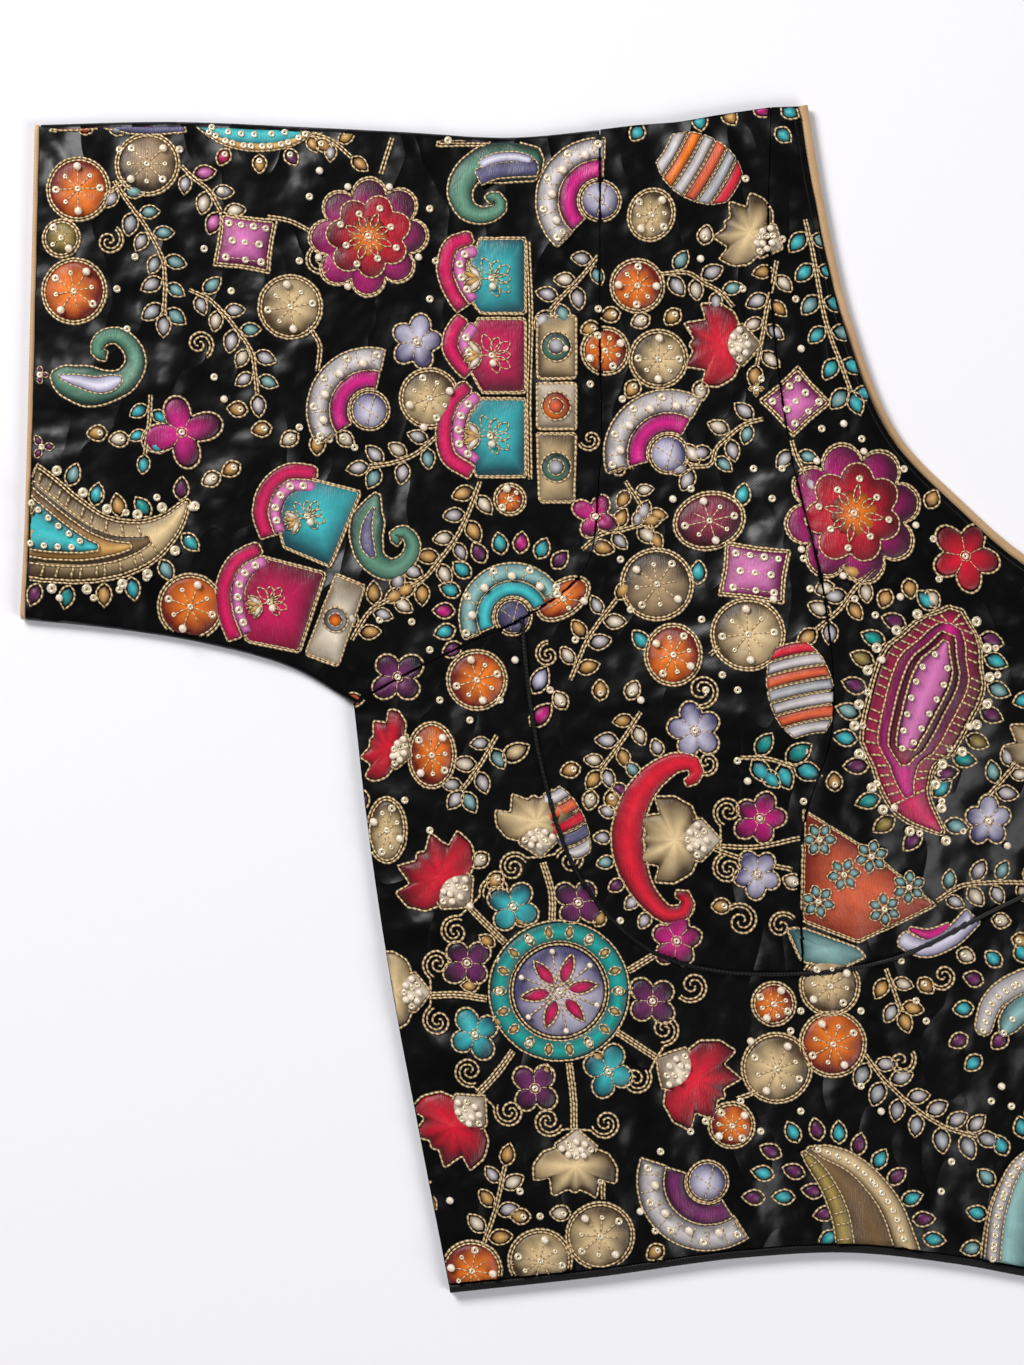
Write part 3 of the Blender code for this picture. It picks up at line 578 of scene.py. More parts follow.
    @staticmethod
    def crumple(points: Array, rise: float = 0.34 * MM) -> Array:
        """Small uneven dents of pressed satin, different on the two halves."""
        x, y = points[:, 0] / MM, points[:, 1] / MM
        total = np.zeros(len(points))
        for pitch, turn, share in ((31.0, 0.4, 1.0), (23.0, 1.9, 0.9), (14.5, 2.6, 0.8), (11.0, 1.1, 0.7),
                                   (8.3, 0.1, 0.5), (6.9, 2.1, 0.45)):
            along = x * math.cos(turn) + y * math.sin(turn)
            across = y * math.cos(turn) - x * math.sin(turn)
            bend = 2.1 * np.sin(TAU * across / (pitch * 2.7) + pitch)
            wave = np.sin(TAU * along / pitch + bend)
            patchy = 0.5 + 0.5 * np.sin(TAU * across / (pitch * 3.9) + 1.7 * turn * pitch)
            total += share * wave * patchy
        return rise * total / 1.6

    def half(self, *pieces: tuple[Array, float]) -> Array:
        """The closed loop of a panel on one half, from (line, margin) pairs run anticlockwise."""
        loop = np.vstack([line[:-1] for line, _ in pieces])
        margins = np.concatenate([np.full(len(line) - 1, margin) for line, margin in pieces])
        return Curve.inset(loop, margins)


# Cloth pieces

class Mesh:
    """Points and faces of one piece, gathered part by part."""

    def __init__(self) -> None:
        """Starts empty."""
        self.points: list[Array] = []
        self.faces: list[list[int]] = []
        self.count = 0

    def add(self, points: Array) -> Array:
        """Adds points and returns their indexes."""
        self.points.append(points)
        self.count += len(points)
        return np.arange(self.count - len(points), self.count)

    def sheet(self, loop: Array, within: Array, height: Height, up: bool) -> Array:
        """Fills a loop with triangles.

        Args:
            loop: the plan points round it, anticlockwise.
            within: the plan points inside it.
            height: the height of each plan point.
            up: whether the faces look up.

        Returns:
            The indexes along the loop.
        """
        plan = np.vstack([loop, within])
        indexes = self.add(np.column_stack([plan, height(plan)]))
        corners = [Vector(point) for point in plan]
        found = delaunay_2d_cdt(corners, [], [list(range(len(loop)))], 1, FINE)
        first = [int(indexes[min(sources)]) for sources in found[3]]
        step = 1 if up else -1
        self.faces += [[first[corner] for corner in face][::step] for face in found[2]]
        return indexes[: len(loop)]

    def strip(self, upper: Array, lower: Array, sides: Optional[Iterable[int]] = None) -> None:
        """Joins two rings of indexes, run anticlockwise, by faces that look outwards."""
        count = len(upper)
        for here in range(count) if sides is None else sides:
            after = (here + 1) % count
            self.faces.append([int(upper[here]), int(lower[here]), int(lower[after]), int(upper[after])])

    def build(self, name: str, material: bpy.types.Material, flip: bool = False) -> bpy.types.Object:
        """Makes the object.

        Args:
            name: the piece's name.
            material: its material.
            flip: whether it is mirrored across the centre front.

        Returns:
            The object, shaded smooth with its corners kept.
        """
        points = np.vstack(self.points)
        faces = self.faces
        if flip:
            points = points * np.array([-1.0, 1.0, 1.0])
            faces = [face[::-1] for face in faces]
        mesh = bpy.data.meshes.new(name)
        mesh.from_pydata(points.tolist(), [], faces)
        mesh.shade_smooth()
        mesh.set_sharp_from_angle(angle=math.radians(50.0))
        mesh.materials.append(material)
        made = bpy.data.objects.new(name, mesh)
        bpy.context.scene.collection.objects.link(made)
        return made


@dataclass
class Cut:
    """What a maker cuts for one piece: its flat size and area, in metres."""

    width: float
    length: float
    area: float

    @classmethod
    def of(cls, loop: Array, spare: float = 1.02) -> "Cut":
        """The cut of a panel from its plan loop, with a little more for the shape that it takes."""
        width, length = (loop.max(axis=0) - loop.min(axis=0)) * spare
        return cls(float(width), float(length), min(abs(Curve.area(loop)) * spare**2, float(width * length)))


@dataclass
class Cloth:
    """One panel of the blouse as a thin closed wall."""

    name: str
    node: str
    loop: Array
    rests_on: tuple[str, ...]
    material: bpy.types.Material
    top: Height
    under: Height
    step: float = 2.0 * MM
    under_step: float = 9.0 * MM
    flip: bool = False
    slot: Slot = Slot.SATIN
    cut: Optional[Cut] = None

    def build(self) -> bpy.types.Object:
        """Makes the piece, in place of its CAD node."""
        mesh = Mesh()
        upper = mesh.sheet(self.loop, Curve.grid(self.loop, self.step), self.top, True)
        lower = mesh.sheet(self.loop, Curve.grid(self.loop, self.under_step), self.under, False)
        mesh.strip(upper, lower)
        made = mesh.build(self.name, self.material, self.flip)
        return dressed(made, self.slot, self.node)


def dressed(made: bpy.types.Object, slot: Slot, *nodes: str) -> bpy.types.Object:
    """Puts a piece on the root body, and hides the CAD nodes that it stands for."""
    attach(made, "root")
    if nodes:
        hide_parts(*nodes)
    return made


@dataclass
class Sweep:
    """A covered cord or binding: an oval carried along a line in space."""

    name: str
    path: Array
    width: Union[float, Array]
    height: Union[float, Array]
    material: bpy.types.Material
    sides: int = 12
    axis: tuple[float, float, float] = (0.0, 0.0, 1.0)
    closed: bool = False
    square: float = 1.0

    def build(self, flip: bool = False) -> bpy.types.Object:
        """Makes the piece, mirrored where `flip` is set."""
        path = self.path
        if self.closed:
            ahead = np.roll(path, -1, axis=0) - np.roll(path, 1, axis=0)
        else:
            ahead = np.gradient(path, axis=0)
        ahead = ahead / np.linalg.norm(ahead, axis=1)[:, None]
        axis = np.array(self.axis)
        across = np.cross(ahead, axis)
        across = across / np.linalg.norm(across, axis=1)[:, None]
        angles = np.linspace(0.0, TAU, self.sides, endpoint=False)
        out = np.sign(np.cos(angles)) * np.abs(np.cos(angles)) ** self.square
        rise = np.sign(np.sin(angles)) * np.abs(np.sin(angles)) ** self.square
        width = np.broadcast_to(np.asarray(self.width) / 2.0, len(path))[:, None, None]
        height = np.broadcast_to(np.asarray(self.height) / 2.0, len(path))[:, None, None]
        rings = (path[:, None, :] + out[None, :, None] * width * across[:, None, :]
                 + rise[None, :, None] * height * axis[None, None, :])
        mesh = Mesh()
        indexes = mesh.add(rings.reshape(-1, 3)).reshape(len(path), self.sides)
        last = len(path) if self.closed else len(path) - 1
        for here in range(last):
            mesh.strip(indexes[here], indexes[(here + 1) % len(path)])
        if not self.closed:
            mesh.faces += [indexes[0].tolist(), indexes[-1][::-1].tolist()]
        made = mesh.build(self.name, self.material, flip)
        made.data.update()
        return made


class Blouse:
    """The sewn blouse: its panels, pipings and bindings, each in place of its CAD node."""

    EDGE = 2.4 * MM

    def __init__(self, plan: Plan) -> None:
        """Makes the cloth finishes."""
        self.plan = plan
        self.satin = BlackSatin().make()
        self.cord = CoveredCord("black_cord_cover", (0.0004, 0.0004, 0.0005), (0.002, 0.002, 0.002), 0.4, 0.3, 0.01).make()
        self.binding = CoveredCord("black_hem_binding", (0.0006, 0.0006, 0.0007), (0.0026, 0.0026, 0.0028), 0.45, 0.25, 0.01).make()
        self.gold = CoveredCord("beige_gold_piping", (0.36, 0.21, 0.1), (0.57, 0.37, 0.2), 0.32, 0.6).make()
        self.panels: dict[str, Array] = {}

    @staticmethod
    def level(height: float) -> Height:
        """A height that is the same everywhere."""
        return lambda points: np.full(len(points), height)

    def line(self, name: str, back: bool = False) -> Array:
        """An edge of the plan at the panels' own fineness."""
        return self.plan.edge(name, self.EDGE, back)

    def centre(self, below: str) -> Array:
        """The centre front or back, from the neck down to the named edge's end."""
        ends = np.array([self.plan.lines["neck"][-1], self.plan.lines[below][-1]])
        return Curve.spaced(ends, self.EDGE)

    def declare(self, made: bpy.types.Object, cut: Cut) -> bpy.types.Object:
        """Logs a panel's flat cut: its width, length and area."""
        LOG.info("%s: %.0f by %.0f mm flat, %.0f square cm", made.name, cut.width / MM, cut.length / MM,
                 cut.area * 1.0e4)
        return made

    def cups(self) -> list[bpy.types.Object]:
        """Both side cups and both centre cups, up to the shoulders."""
        half = SEAM_GAP / 2.0
        side_loop = self.plan.half(
            (self.line("cup_seam_side", True), half), (self.line("armhole", True), half),
            (self.line("shoulder", True), half), (self.line("princess"), half))
        centre_loop = self.plan.half(
            (self.line("cup_seam_centre", True), half), (self.line("princess", True), half),
            (self.line("neck_shoulder", True), half), (self.line("neck"), NECK_PIPING + SEAM_GAP),
            (self.centre("cup_seam_centre"), half))
        self.panels["side_cup"], self.panels["centre_cup"] = side_loop, centre_loop
        made = []
        for side in Side:
            for stem, loop in (("cup_side", side_loop), ("cup_centre", centre_loop)):
                name = f"{stem}_satin_{side.word}"
                made.append(self.front(name, f"{stem}_{side.word}", loop, side))
        return made

    def front(self, name: str, node: str, loop: Array, side: Side) -> bpy.types.Object:
        """A panel of the front on one half, with that half's own crumples."""
        place = np.array([float(side.value), 1.0])
        piece = Cloth(name, node, loop, (), self.satin, lambda points: self.plan.creased(points * place),
                      self.plan.under, flip=side is Side.LEFT)
        return self.declare(piece.build(), Cut.of(loop))

    def band(self) -> bpy.types.Object:
        """The band below the cups, cut in one across the centre front."""
        half = SEAM_GAP / 2.0
        pieces = ((self.line("hem", True), HEM_BINDING + SEAM_GAP), (self.line("side", True), half),
                  (self.line("armhole_under", True), half), (self.line("cup_seam_side"), half),
                  (self.line("cup_seam_centre"), half))
        loop = np.vstack([line[:-1] for line, _ in pieces] + [pieces[-1][0][-1:]])
        margins = np.concatenate([np.full(len(line) - 1, margin) for line, margin in pieces])
        whole = np.vstack([loop, loop[1:-1][::-1] * np.array([-1.0, 1.0])])
        loop = Curve.inset(whole, np.concatenate([margins, margins[::-1]]))
        self.panels["band"] = loop
        piece = Cloth("front_band_satin", "front_band", loop, (), self.satin, self.plan.creased, self.plan.under)
        return self.declare(piece.build(), Cut.of(loop))

    def backs(self) -> list[bpy.types.Object]:
        """Both halves of the back, flat on the surface."""
        half = SEAM_GAP / 2.0
        loop = self.plan.half(
            (self.line("hem", True), HEM_BINDING + SEAM_GAP), (self.line("side", True), half),
            (self.line("armhole_under", True), half), (self.line("armhole", True), half),
            (self.line("shoulder", True), half), (self.line("neck_shoulder", True), half),
            (self.line("neck"), BACK_NECK_DROP + NECK_PIPING + SEAM_GAP), (self.centre("hem"), half))
        made = []
        for side in Side:
            piece = Cloth(f"back_satin_{side.word}", f"back_{side.word}", loop, (), self.satin,
                          self.level(WALL), self.level(0.0), 5.0 * MM, flip=side is Side.LEFT)
            made.append(self.declare(piece.build(), Cut.of(loop)))
        return made

    def placket(self) -> bpy.types.Object:
        """The underlap inside the centre back."""
        clear, wall, half_width, floor = 14.0 * MM, 1.0 * MM, 9.0 * MM, WALL + SEAM_GAP
        low = self.plan.lines["hem"][-1][1] + clear
        high = self.plan.lines["neck"][-1][1] - clear
        right = Curve.spaced(np.array([[half_width, low], [half_width, high]]), 4.0 * MM)
        loop = np.vstack([right, right[::-1] * np.array([-1.0, 1.0])])
        piece = Cloth("back_placket_satin", "back_placket", loop, (), self.satin, self.level(floor + wall),
                      self.level(floor), 4.0 * MM)
        return self.declare(piece.build(), Cut.of(loop))

    def sleeves(self) -> list[bpy.types.Object]:
        """Both sleeves, each one tube pressed flat, with the piping round its opening."""
        lines = (self.line("sleeve_under", True), self.line("sleeve_hem", True), self.line("sleeve_top", True),
                 self.line("armhole"), self.line("armhole_under"))
        widths = (FOLD_BULGE, SLEEVE_PIPING + SEAM_GAP, FOLD_BULGE, SEAM_GAP / 2.0, SEAM_GAP / 2.0)
        counts = [len(line) - 1 for line in lines]
        loop = Curve.inset(np.vstack([line[:-1] for line in lines]), np.repeat(widths, counts))
        corners = [*np.cumsum([0, *counts[:-1]]), len(loop)]
        whole = np.vstack([loop, loop[:1]])
        lines = [Curve.spaced(whole[start:end + 1], self.EDGE) for start, end in zip(corners, corners[1:])]
        counts = [len(line) - 1 for line in lines]
        loop = np.vstack([line[:-1] for line in lines])
        folds = set(range(counts[0])) | set(range(sum(counts[:2]), sum(counts[:3])))
        self.panels["sleeve"] = loop
        made = []
        for side in Side:
            place = np.array([float(side.value), 1.0])
            tube = SleeveTube(loop, folds, lambda points: self.plan.creased(points * place), self.plan.under)
            piece = tube.mesh().build(f"sleeve_satin_{side.word}", self.satin, side is Side.LEFT)
            dressed(piece, Slot.SATIN, f"sleeve_{side.word}")
            trim = self.sleeve_piping(side)
            cut = Cut.of(loop)
            around = Cut(cut.width, 2.0 * cut.length, 2.0 * cut.area)
            made += [self.declare(piece, around), trim]
        return made

    def sleeve_piping(self, side: Side) -> bpy.types.Object:
        """Beige-gold piping all round a sleeve's opening: along the top, over the fold and back below."""
        radius = 0.85 * MM
        hem = self.plan.edge("sleeve_hem", 2.4 * MM, True)
        hem = hem[(hem[:, 1] > hem[0, 1] + FOLD_BULGE) & (hem[:, 1] < hem[-1, 1] - FOLD_BULGE)]
        hem = hem - np.array([radius, 0.0])
        above = np.column_stack([hem, self.plan.top(hem) + TRIM_PROUD - radius])
        below = np.column_stack([hem, np.full(len(hem), radius)])[::-1]
        turns = []
        for start, end, way in ((above[-1], below[0], 1.0), (below[-1], above[0], -1.0)):
            middle, rise = (start + end) / 2.0, abs(start[2] - end[2]) / 2.0
            for angle in np.linspace(0.0, math.pi, 8)[1:-1]:
                spot = middle + np.array([0.0, way * FOLD_BULGE * math.sin(angle), 0.0])
                spot[2] = middle[2] + way * rise * math.cos(angle)
                turns.append(spot)
        path = np.vstack([above, turns[:6], below, turns[6:]])
        sweep = Sweep(f"sleeve_piping_cord_{side.word}", path, 2.0 * radius, 2.0 * radius, self.gold,
                      axis=(1.0, 0.0, 0.0), closed=True)
        return dressed(sweep.build(side is Side.LEFT), Slot.GOLD, f"sleeve_piping_{side.word}")

    def neck_line(self, margin: float, step: float = 2.4 * MM) -> Array:
        """The neck edge of one half moved into the cloth, from the shoulder to the centre."""
        line = self.plan.edge("neck", step)
        ahead = np.gradient(line, axis=0)
        moved = line + np.column_stack([-ahead[:, 1], ahead[:, 0]]) / np.linalg.norm(ahead, axis=1)[:, None] * margin
        moved[-1, 0], moved[0, 1] = 0.0, line[0, 1]
        return moved

    @staticmethod
    def mirrored(line: Array) -> Array:
        """A whole line across both halves, from a line of one half that ends at the centre."""
        return np.vstack([line, line[:-1][::-1] * np.array([-1.0, 1.0])])

    def neck_pipings(self) -> list[bpy.types.Object]:
        """Beige-gold piping of the neck: one length on the front, and one on each half of the back."""
        line = self.mirrored(self.neck_line(NECK_PIPING / 2.0))
        path = np.column_stack([line, np.full(len(line), 1.5 * WALL + SEAM_GAP)])
        front = Sweep("neck_piping_cord_front", path, NECK_PIPING, NECK_PIPING_HEIGHT, self.gold, 16)
        made = [dressed(front.build(), Slot.GOLD, "neck_piping_front")]
        back = self.neck_line(BACK_NECK_DROP + NECK_PIPING / 2.0)
        back[-1, 0] = SEAM_GAP / 2.0
        low = np.column_stack([back, np.full(len(back), BACK_PIPING_HEIGHT / 2.0)])
        for side in Side:
            name = f"neck_piping_cord_back_{side.word}"
            sweep = Sweep(name, low, NECK_PIPING, BACK_PIPING_HEIGHT, self.gold)
            made.append(dressed(sweep.build(side is Side.LEFT), Slot.GOLD, f"neck_piping_back_{side.word}"))
        return made

    def topstitching(self) -> list[bpy.types.Object]:
        """A fine line of black stitches beside the neck's piping."""
        line = self.neck_line(NECK_PIPING + 2.0 * MM, 1.6 * MM)[2:]
        line[-1, 0] = SEAM_GAP / 2.0
        made = []
        for side in Side:
            rise = self.plan.creased(line * np.array([float(side.value), 1.0]))
            path = np.column_stack([line, rise + 0.1 * MM])
            sweep = Sweep(f"neck_topstitch_{side.word}", path, 0.55 * MM, 0.5 * MM, self.cord, 6)
            made.append(dressed(sweep.build(side is Side.LEFT), Slot.CORD))
        return made

    def cup_cords(self) -> list[bpy.types.Object]:
        """Thin black covered cord along the seam under each cup."""
        seam = Curve.spaced(self.plan.cup_line, 2.0 * MM)
        seam[-1, 0] = SEAM_GAP / 2.0
        made = []
        for side in Side:
            rise = self.plan.creased(seam * np.array([float(side.value), 1.0]))
            path = np.column_stack([seam, rise + CUP_PIPING_LIFT + CUP_PIPING / 2.0])
            sweep = Sweep(f"cup_cord_{side.word}", path, CUP_PIPING, CUP_PIPING, self.cord, 10)
            made.append(dressed(sweep.build(side is Side.LEFT), Slot.CORD, f"cup_piping_{side.word}"))
        return made

    def hem_bindings(self) -> list[bpy.types.Object]:
        """Narrow black binding of the hem: one length on the front, and one on each half of the back."""
        line = self.plan.edge("hem", 2.0 * MM)
        ahead = np.gradient(line, axis=0)
        into = np.column_stack([ahead[:, 1], -ahead[:, 0]]) / np.linalg.norm(ahead, axis=1)[:, None]
        middle = line + into * HEM_BINDING / 2.0
        middle[-1, 0] = 0.0
        whole = self.mirrored(middle)
        under, over = self.plan.under(whole), self.plan.top(whole) + TRIM_PROUD
        path = np.column_stack([whole, (under + over) / 2.0])
        front = Sweep("hem_binding_satin_front", path, HEM_BINDING, over - under, self.binding, 16, square=0.7)
        made = [dressed(front.build(), Slot.SATIN, "hem_binding_front")]
        middle[-1, 0] = SEAM_GAP / 2.0
        low = np.column_stack([middle, np.full(len(middle), WALL / 2.0)])
        for side in Side:
            name = f"hem_binding_satin_back_{side.word}"
            sweep = Sweep(name, low, HEM_BINDING, WALL, self.binding, square=0.7)
            made.append(dressed(sweep.build(side is Side.LEFT), Slot.SATIN, f"hem_binding_back_{side.word}"))
        return made

    def build(self) -> list[bpy.types.Object]:
        """Makes every sewn piece and returns them."""
        made = [*self.backs(), self.placket(), *self.sleeves(), *self.cups(), self.band(), *self.neck_pipings(),
                *self.topstitching(), *self.cup_cords(), *self.hem_bindings()]
        for piece in made:
            LOG.info("%s: %d faces", piece.name, len(piece.data.polygons))
        return made


@dataclass
class SleeveTube:
    """A sleeve pressed flat: two layers joined by rounded folds along its top and under the arm."""

    loop: Array
    folds: set[int]
    top: Height
    under: Height
    turns: int = 5

    def mesh(self) -> Mesh:
        """Builds the tube as one closed wall, open through the middle."""
        mesh = Mesh()
        count = len(self.loop)
        hollow = Curve.inset(self.loop, np.array([WALL if here in self.folds else 0.0 for here in range(count)]))
        coarse = Curve.grid(hollow, 9.0 * MM)
        top = mesh.sheet(self.loop, Curve.grid(self.loop, 2.0 * MM), self.top, True)
        ceiling = mesh.sheet(hollow, coarse, self.under, False)
        floor = mesh.sheet(hollow, coarse, Blouse.level(WALL), True)
        bottom = mesh.sheet(self.loop, Curve.grid(self.loop, 6.0 * MM), Blouse.level(0.0), False)
        rings = self._rings(mesh, self.top(self.loop))
        stack = [top, *rings, bottom]
        for upper, lower in zip(stack[:-1], stack[1:]):
            mesh.strip(upper, lower, self.folds)
        mesh.strip(floor, ceiling, self.folds)
        ends = [here for here in range(count) if here not in self.folds]
        mesh.strip(top, ceiling, ends)
        mesh.strip(floor, bottom, ends)
        for here in range(count):
            starts, stops = here in self.folds, (here - 1) % count in self.folds
            if starts != stops:
                around = [int(ring[here]) for ring in stack] + [int(floor[here]), int(ceiling[here])]
                mesh.faces.append(around if stops else around[::-1])
        return mesh

    def _rings(self, mesh: Mesh, heights: Array) -> list[Array]:
        """Rings of points that round each fold off between the upper and the lower layer."""
        count = len(self.loop)
        after = np.roll(self.loop, -1, axis=0) - self.loop
        outward = np.column_stack([after[:, 1], -after[:, 0]]) / np.linalg.norm(after, axis=1)[:, None]
        rings = [np.full(count, -1) for _ in range(self.turns)]
        for here in range(count):
            sides = [side for side in ((here - 1) % count, here) if side in self.folds]
            if not sides:
                continue
            way = outward[sides].mean(axis=0)
            if len(sides) == 1:
                # At an open end the fold bulges along that end, so that it stays clear of the next panel.
                neighbour = self.loop[(here + 1) % count] if sides[0] != here else self.loop[here - 1]
                along = self.loop[here] - neighbour
                way = along / (along @ way)
            half = heights[here] / 2.0
            for number in range(self.turns):
                angle = math.pi * (number + 1) / (self.turns + 1)
                spot = self.loop[here] + way * FOLD_BULGE * math.sin(angle)
                rings[number][here] = mesh.add(np.array([[*spot, half + half * math.cos(angle)]]))[0]
        return rings


# Embroidery

class Zone(Enum):
    """The front's panels that carry embroidery."""

    SLEEVE = "sleeve"
    SIDE_CUP = "side_cup"
    CENTRE_CUP = "centre_cup"
    BAND = "band"


class Thing(Enum):
    """What the embroidery is made of."""

    SATIN = "applique_satin"
    CORD = "couched_cord"
    SEQUIN = "sequins"
    PEARL = "pearls"


def linear(red: float, green: float, blue: float) -> Colour:
    """A colour from 0 to 255 on a screen, as light."""
    return tuple((part / 255.0) ** 2.2 for part in (red, green, blue))


@dataclass(frozen=True)
class Dye:
    """The two shades that an applique piece is dyed in: round its rim and at its middle."""

    rim: Colour
    heart: Colour


DYES = {
    "orange": Dye(linear(104, 18, 4), linear(255, 130, 24)),
    "beige": Dye(linear(70, 52, 30), linear(236, 206, 154)),
    "brown": Dye(linear(48, 36, 24), linear(184, 154, 116)),
    "olive": Dye(linear(66, 54, 22), linear(170, 146, 76)),
    "ochre": Dye(linear(86, 54, 18), linear(224, 172, 96)),
    "pink": Dye(linear(100, 16, 72), linear(228, 124, 192)),
    "magenta": Dye(linear(66, 2, 44), linear(214, 16, 134)),
    "crimson": Dye(linear(92, 2, 40), linear(216, 10, 92)),
    "red": Dye(linear(92, 2, 24), linear(224, 18, 50)),
    "teal": Dye(linear(2, 62, 74), linear(64, 196, 202)),
    "sea": Dye(linear(0, 70, 70), linear(20, 160, 154)),
    "green": Dye(linear(14, 40, 34), linear(96, 148, 122)),
    "slate": Dye(linear(40, 40, 66), linear(96, 92, 128)),
    "lavender": Dye(linear(66, 62, 100), linear(222, 216, 236)),
    "plum": Dye(linear(30, 6, 28), linear(116, 34, 98)),
    "silver": Dye(linear(76, 70, 76), linear(216, 208, 208)),
    "grey": Dye(linear(64, 64, 68), linear(188, 188, 192)),
    "ivory": Dye(linear(120, 102, 82), linear(248, 234, 212)),
    "rust": Dye(linear(108, 28, 12), linear(232, 100, 56)),
    "mist": Dye(linear(30, 70, 76), linear(146, 190, 188)),
    "wine": Dye(linear(50, 6, 24), linear(148, 34, 68)),
    "umber": Dye(linear(38, 26, 14), linear(120, 92, 58)),
}


@dataclass(frozen=True)
class AppliqueSatin:
    """Padded satin in the dyes of its patches, with each patch's painted light and shade on one side, fine threads and
    soft dents.
    """

    name: str = "applique_satin_dyed"

    def make(self) -> bpy.types.Material:
        """Builds the material."""
        graph = Graph(self.name)
        tint = graph.attribute("tint", "Color")
        threads = graph.noise(graph.place((1.0, 0.16, 1.0), 0.5), 0.45 * MM, 2.0)
        pool = graph.noise(graph.place(), 5.0 * MM, 2.0)
        ink = graph.mix(pool * 0.9, (0.6, 0.58, 0.56), (1.25, 1.25, 1.25))
        colour = graph.mix(0.9, tint, ink, "MULTIPLY")
        colour = graph.mix(threads * 0.16, colour, (0.03, 0.02, 0.02))
        normal = graph.bump(threads * 0.6 + pool * 1.6, 0.5, 0.6 * MM)
        return graph.surface(base_color=colour, roughness=0.38 + threads * 0.16, normal=normal,
                             sheen_weight=0.08, sheen_roughness=0.4, specular_ior_level=0.4)


@dataclass(frozen=True)
class GoldCord:
    """Couched antique-gold cord: two plies twisted together, with painted shade making it dark in the gap between them.
    """

    name: str = "antique_gold_cord"
    pitch: float = 1.7 * MM
    # deep is painted shade for the gaps between the plies; light is the cord's own pale gold.
    deep: Colour = linear(74, 52, 28)
    light: Colour = linear(232, 202, 154)

    def make(self) -> bpy.types.Material:
        """Builds the material."""
        graph = Graph(self.name)
        run = graph.attribute("run", "Fac")
        wear = graph.noise(graph.place(), 2.2 * MM, 3.0)
        ply = (run * (TAU / self.pitch) + wear * 3.0).sine() * 0.5 + 0.5
        ply_relief_and_shade = ply ** 0.6
        # The colour is painted dark in the gaps between the plies as shade, and pale gold on their crests, with random
        # wear over both.
        colour = graph.mix(ply_relief_and_shade * 0.8 + wear * 0.25, self.deep, self.light)
        normal = graph.bump(ply_relief_and_shade, 0.6, 0.3 * MM)
        return graph.surface(base_color=colour, roughness=0.36 + wear * 0.15, metallic=0.25, normal=normal,
                             specular_ior_level=0.6)


@dataclass(frozen=True)
class Glossy:
    """A hard bright bead or sequin with slight clouding."""

    name: str
    deep: Colour
    light: Colour
    metal: float
    roughness: float

    def make(self) -> bpy.types.Material:
        """Builds the material."""
        graph = Graph(self.name)
        cloud = graph.noise(graph.place(), 1.4 * MM, 3.0)
        colour = graph.mix(cloud, self.deep, self.light)
        return graph.surface(base_color=colour, roughness=self.roughness + cloud * 0.12, metallic=self.metal,
                             normal=graph.bump(cloud, 0.2, 0.1 * MM), coat_weight=0.3, specular_ior_level=0.6)


@dataclass
class Batch:
    """Points in one half's plan with their rise over the cloth, and the faces and values that they carry."""

    plan: list[Array] = field(default_factory=list)
    rise: list[Array] = field(default_factory=list)
    value: list[Array] = field(default_factory=list)
    faces: list[Array] = field(default_factory=list)
    count: int = 0

    def add(self, plan: Array, rise: Array, faces: Sequence[Array], value: Optional[Array] = None) -> None:
        """Adds one part: its points, rises, arrays of faces by corner count and values."""
        self.plan.append(plan)
        self.rise.append(rise)
        if value is not None:
            self.value.append(value)
        self.faces += [part + self.count for part in faces]
        self.count += len(plan)


def quads(rings: int, around: int) -> Array:
    """Four-cornered faces between rings of points, each ring closed on itself, looking outwards."""
    ring, spot = np.meshgrid(np.arange(rings - 1), np.arange(around), indexing="ij")
    after = (spot + 1) % around
    here, above = ring * around, (ring + 1) * around
    return np.stack([here + spot, here + after, above + after, above + spot], axis=-1).reshape(-1, 4)


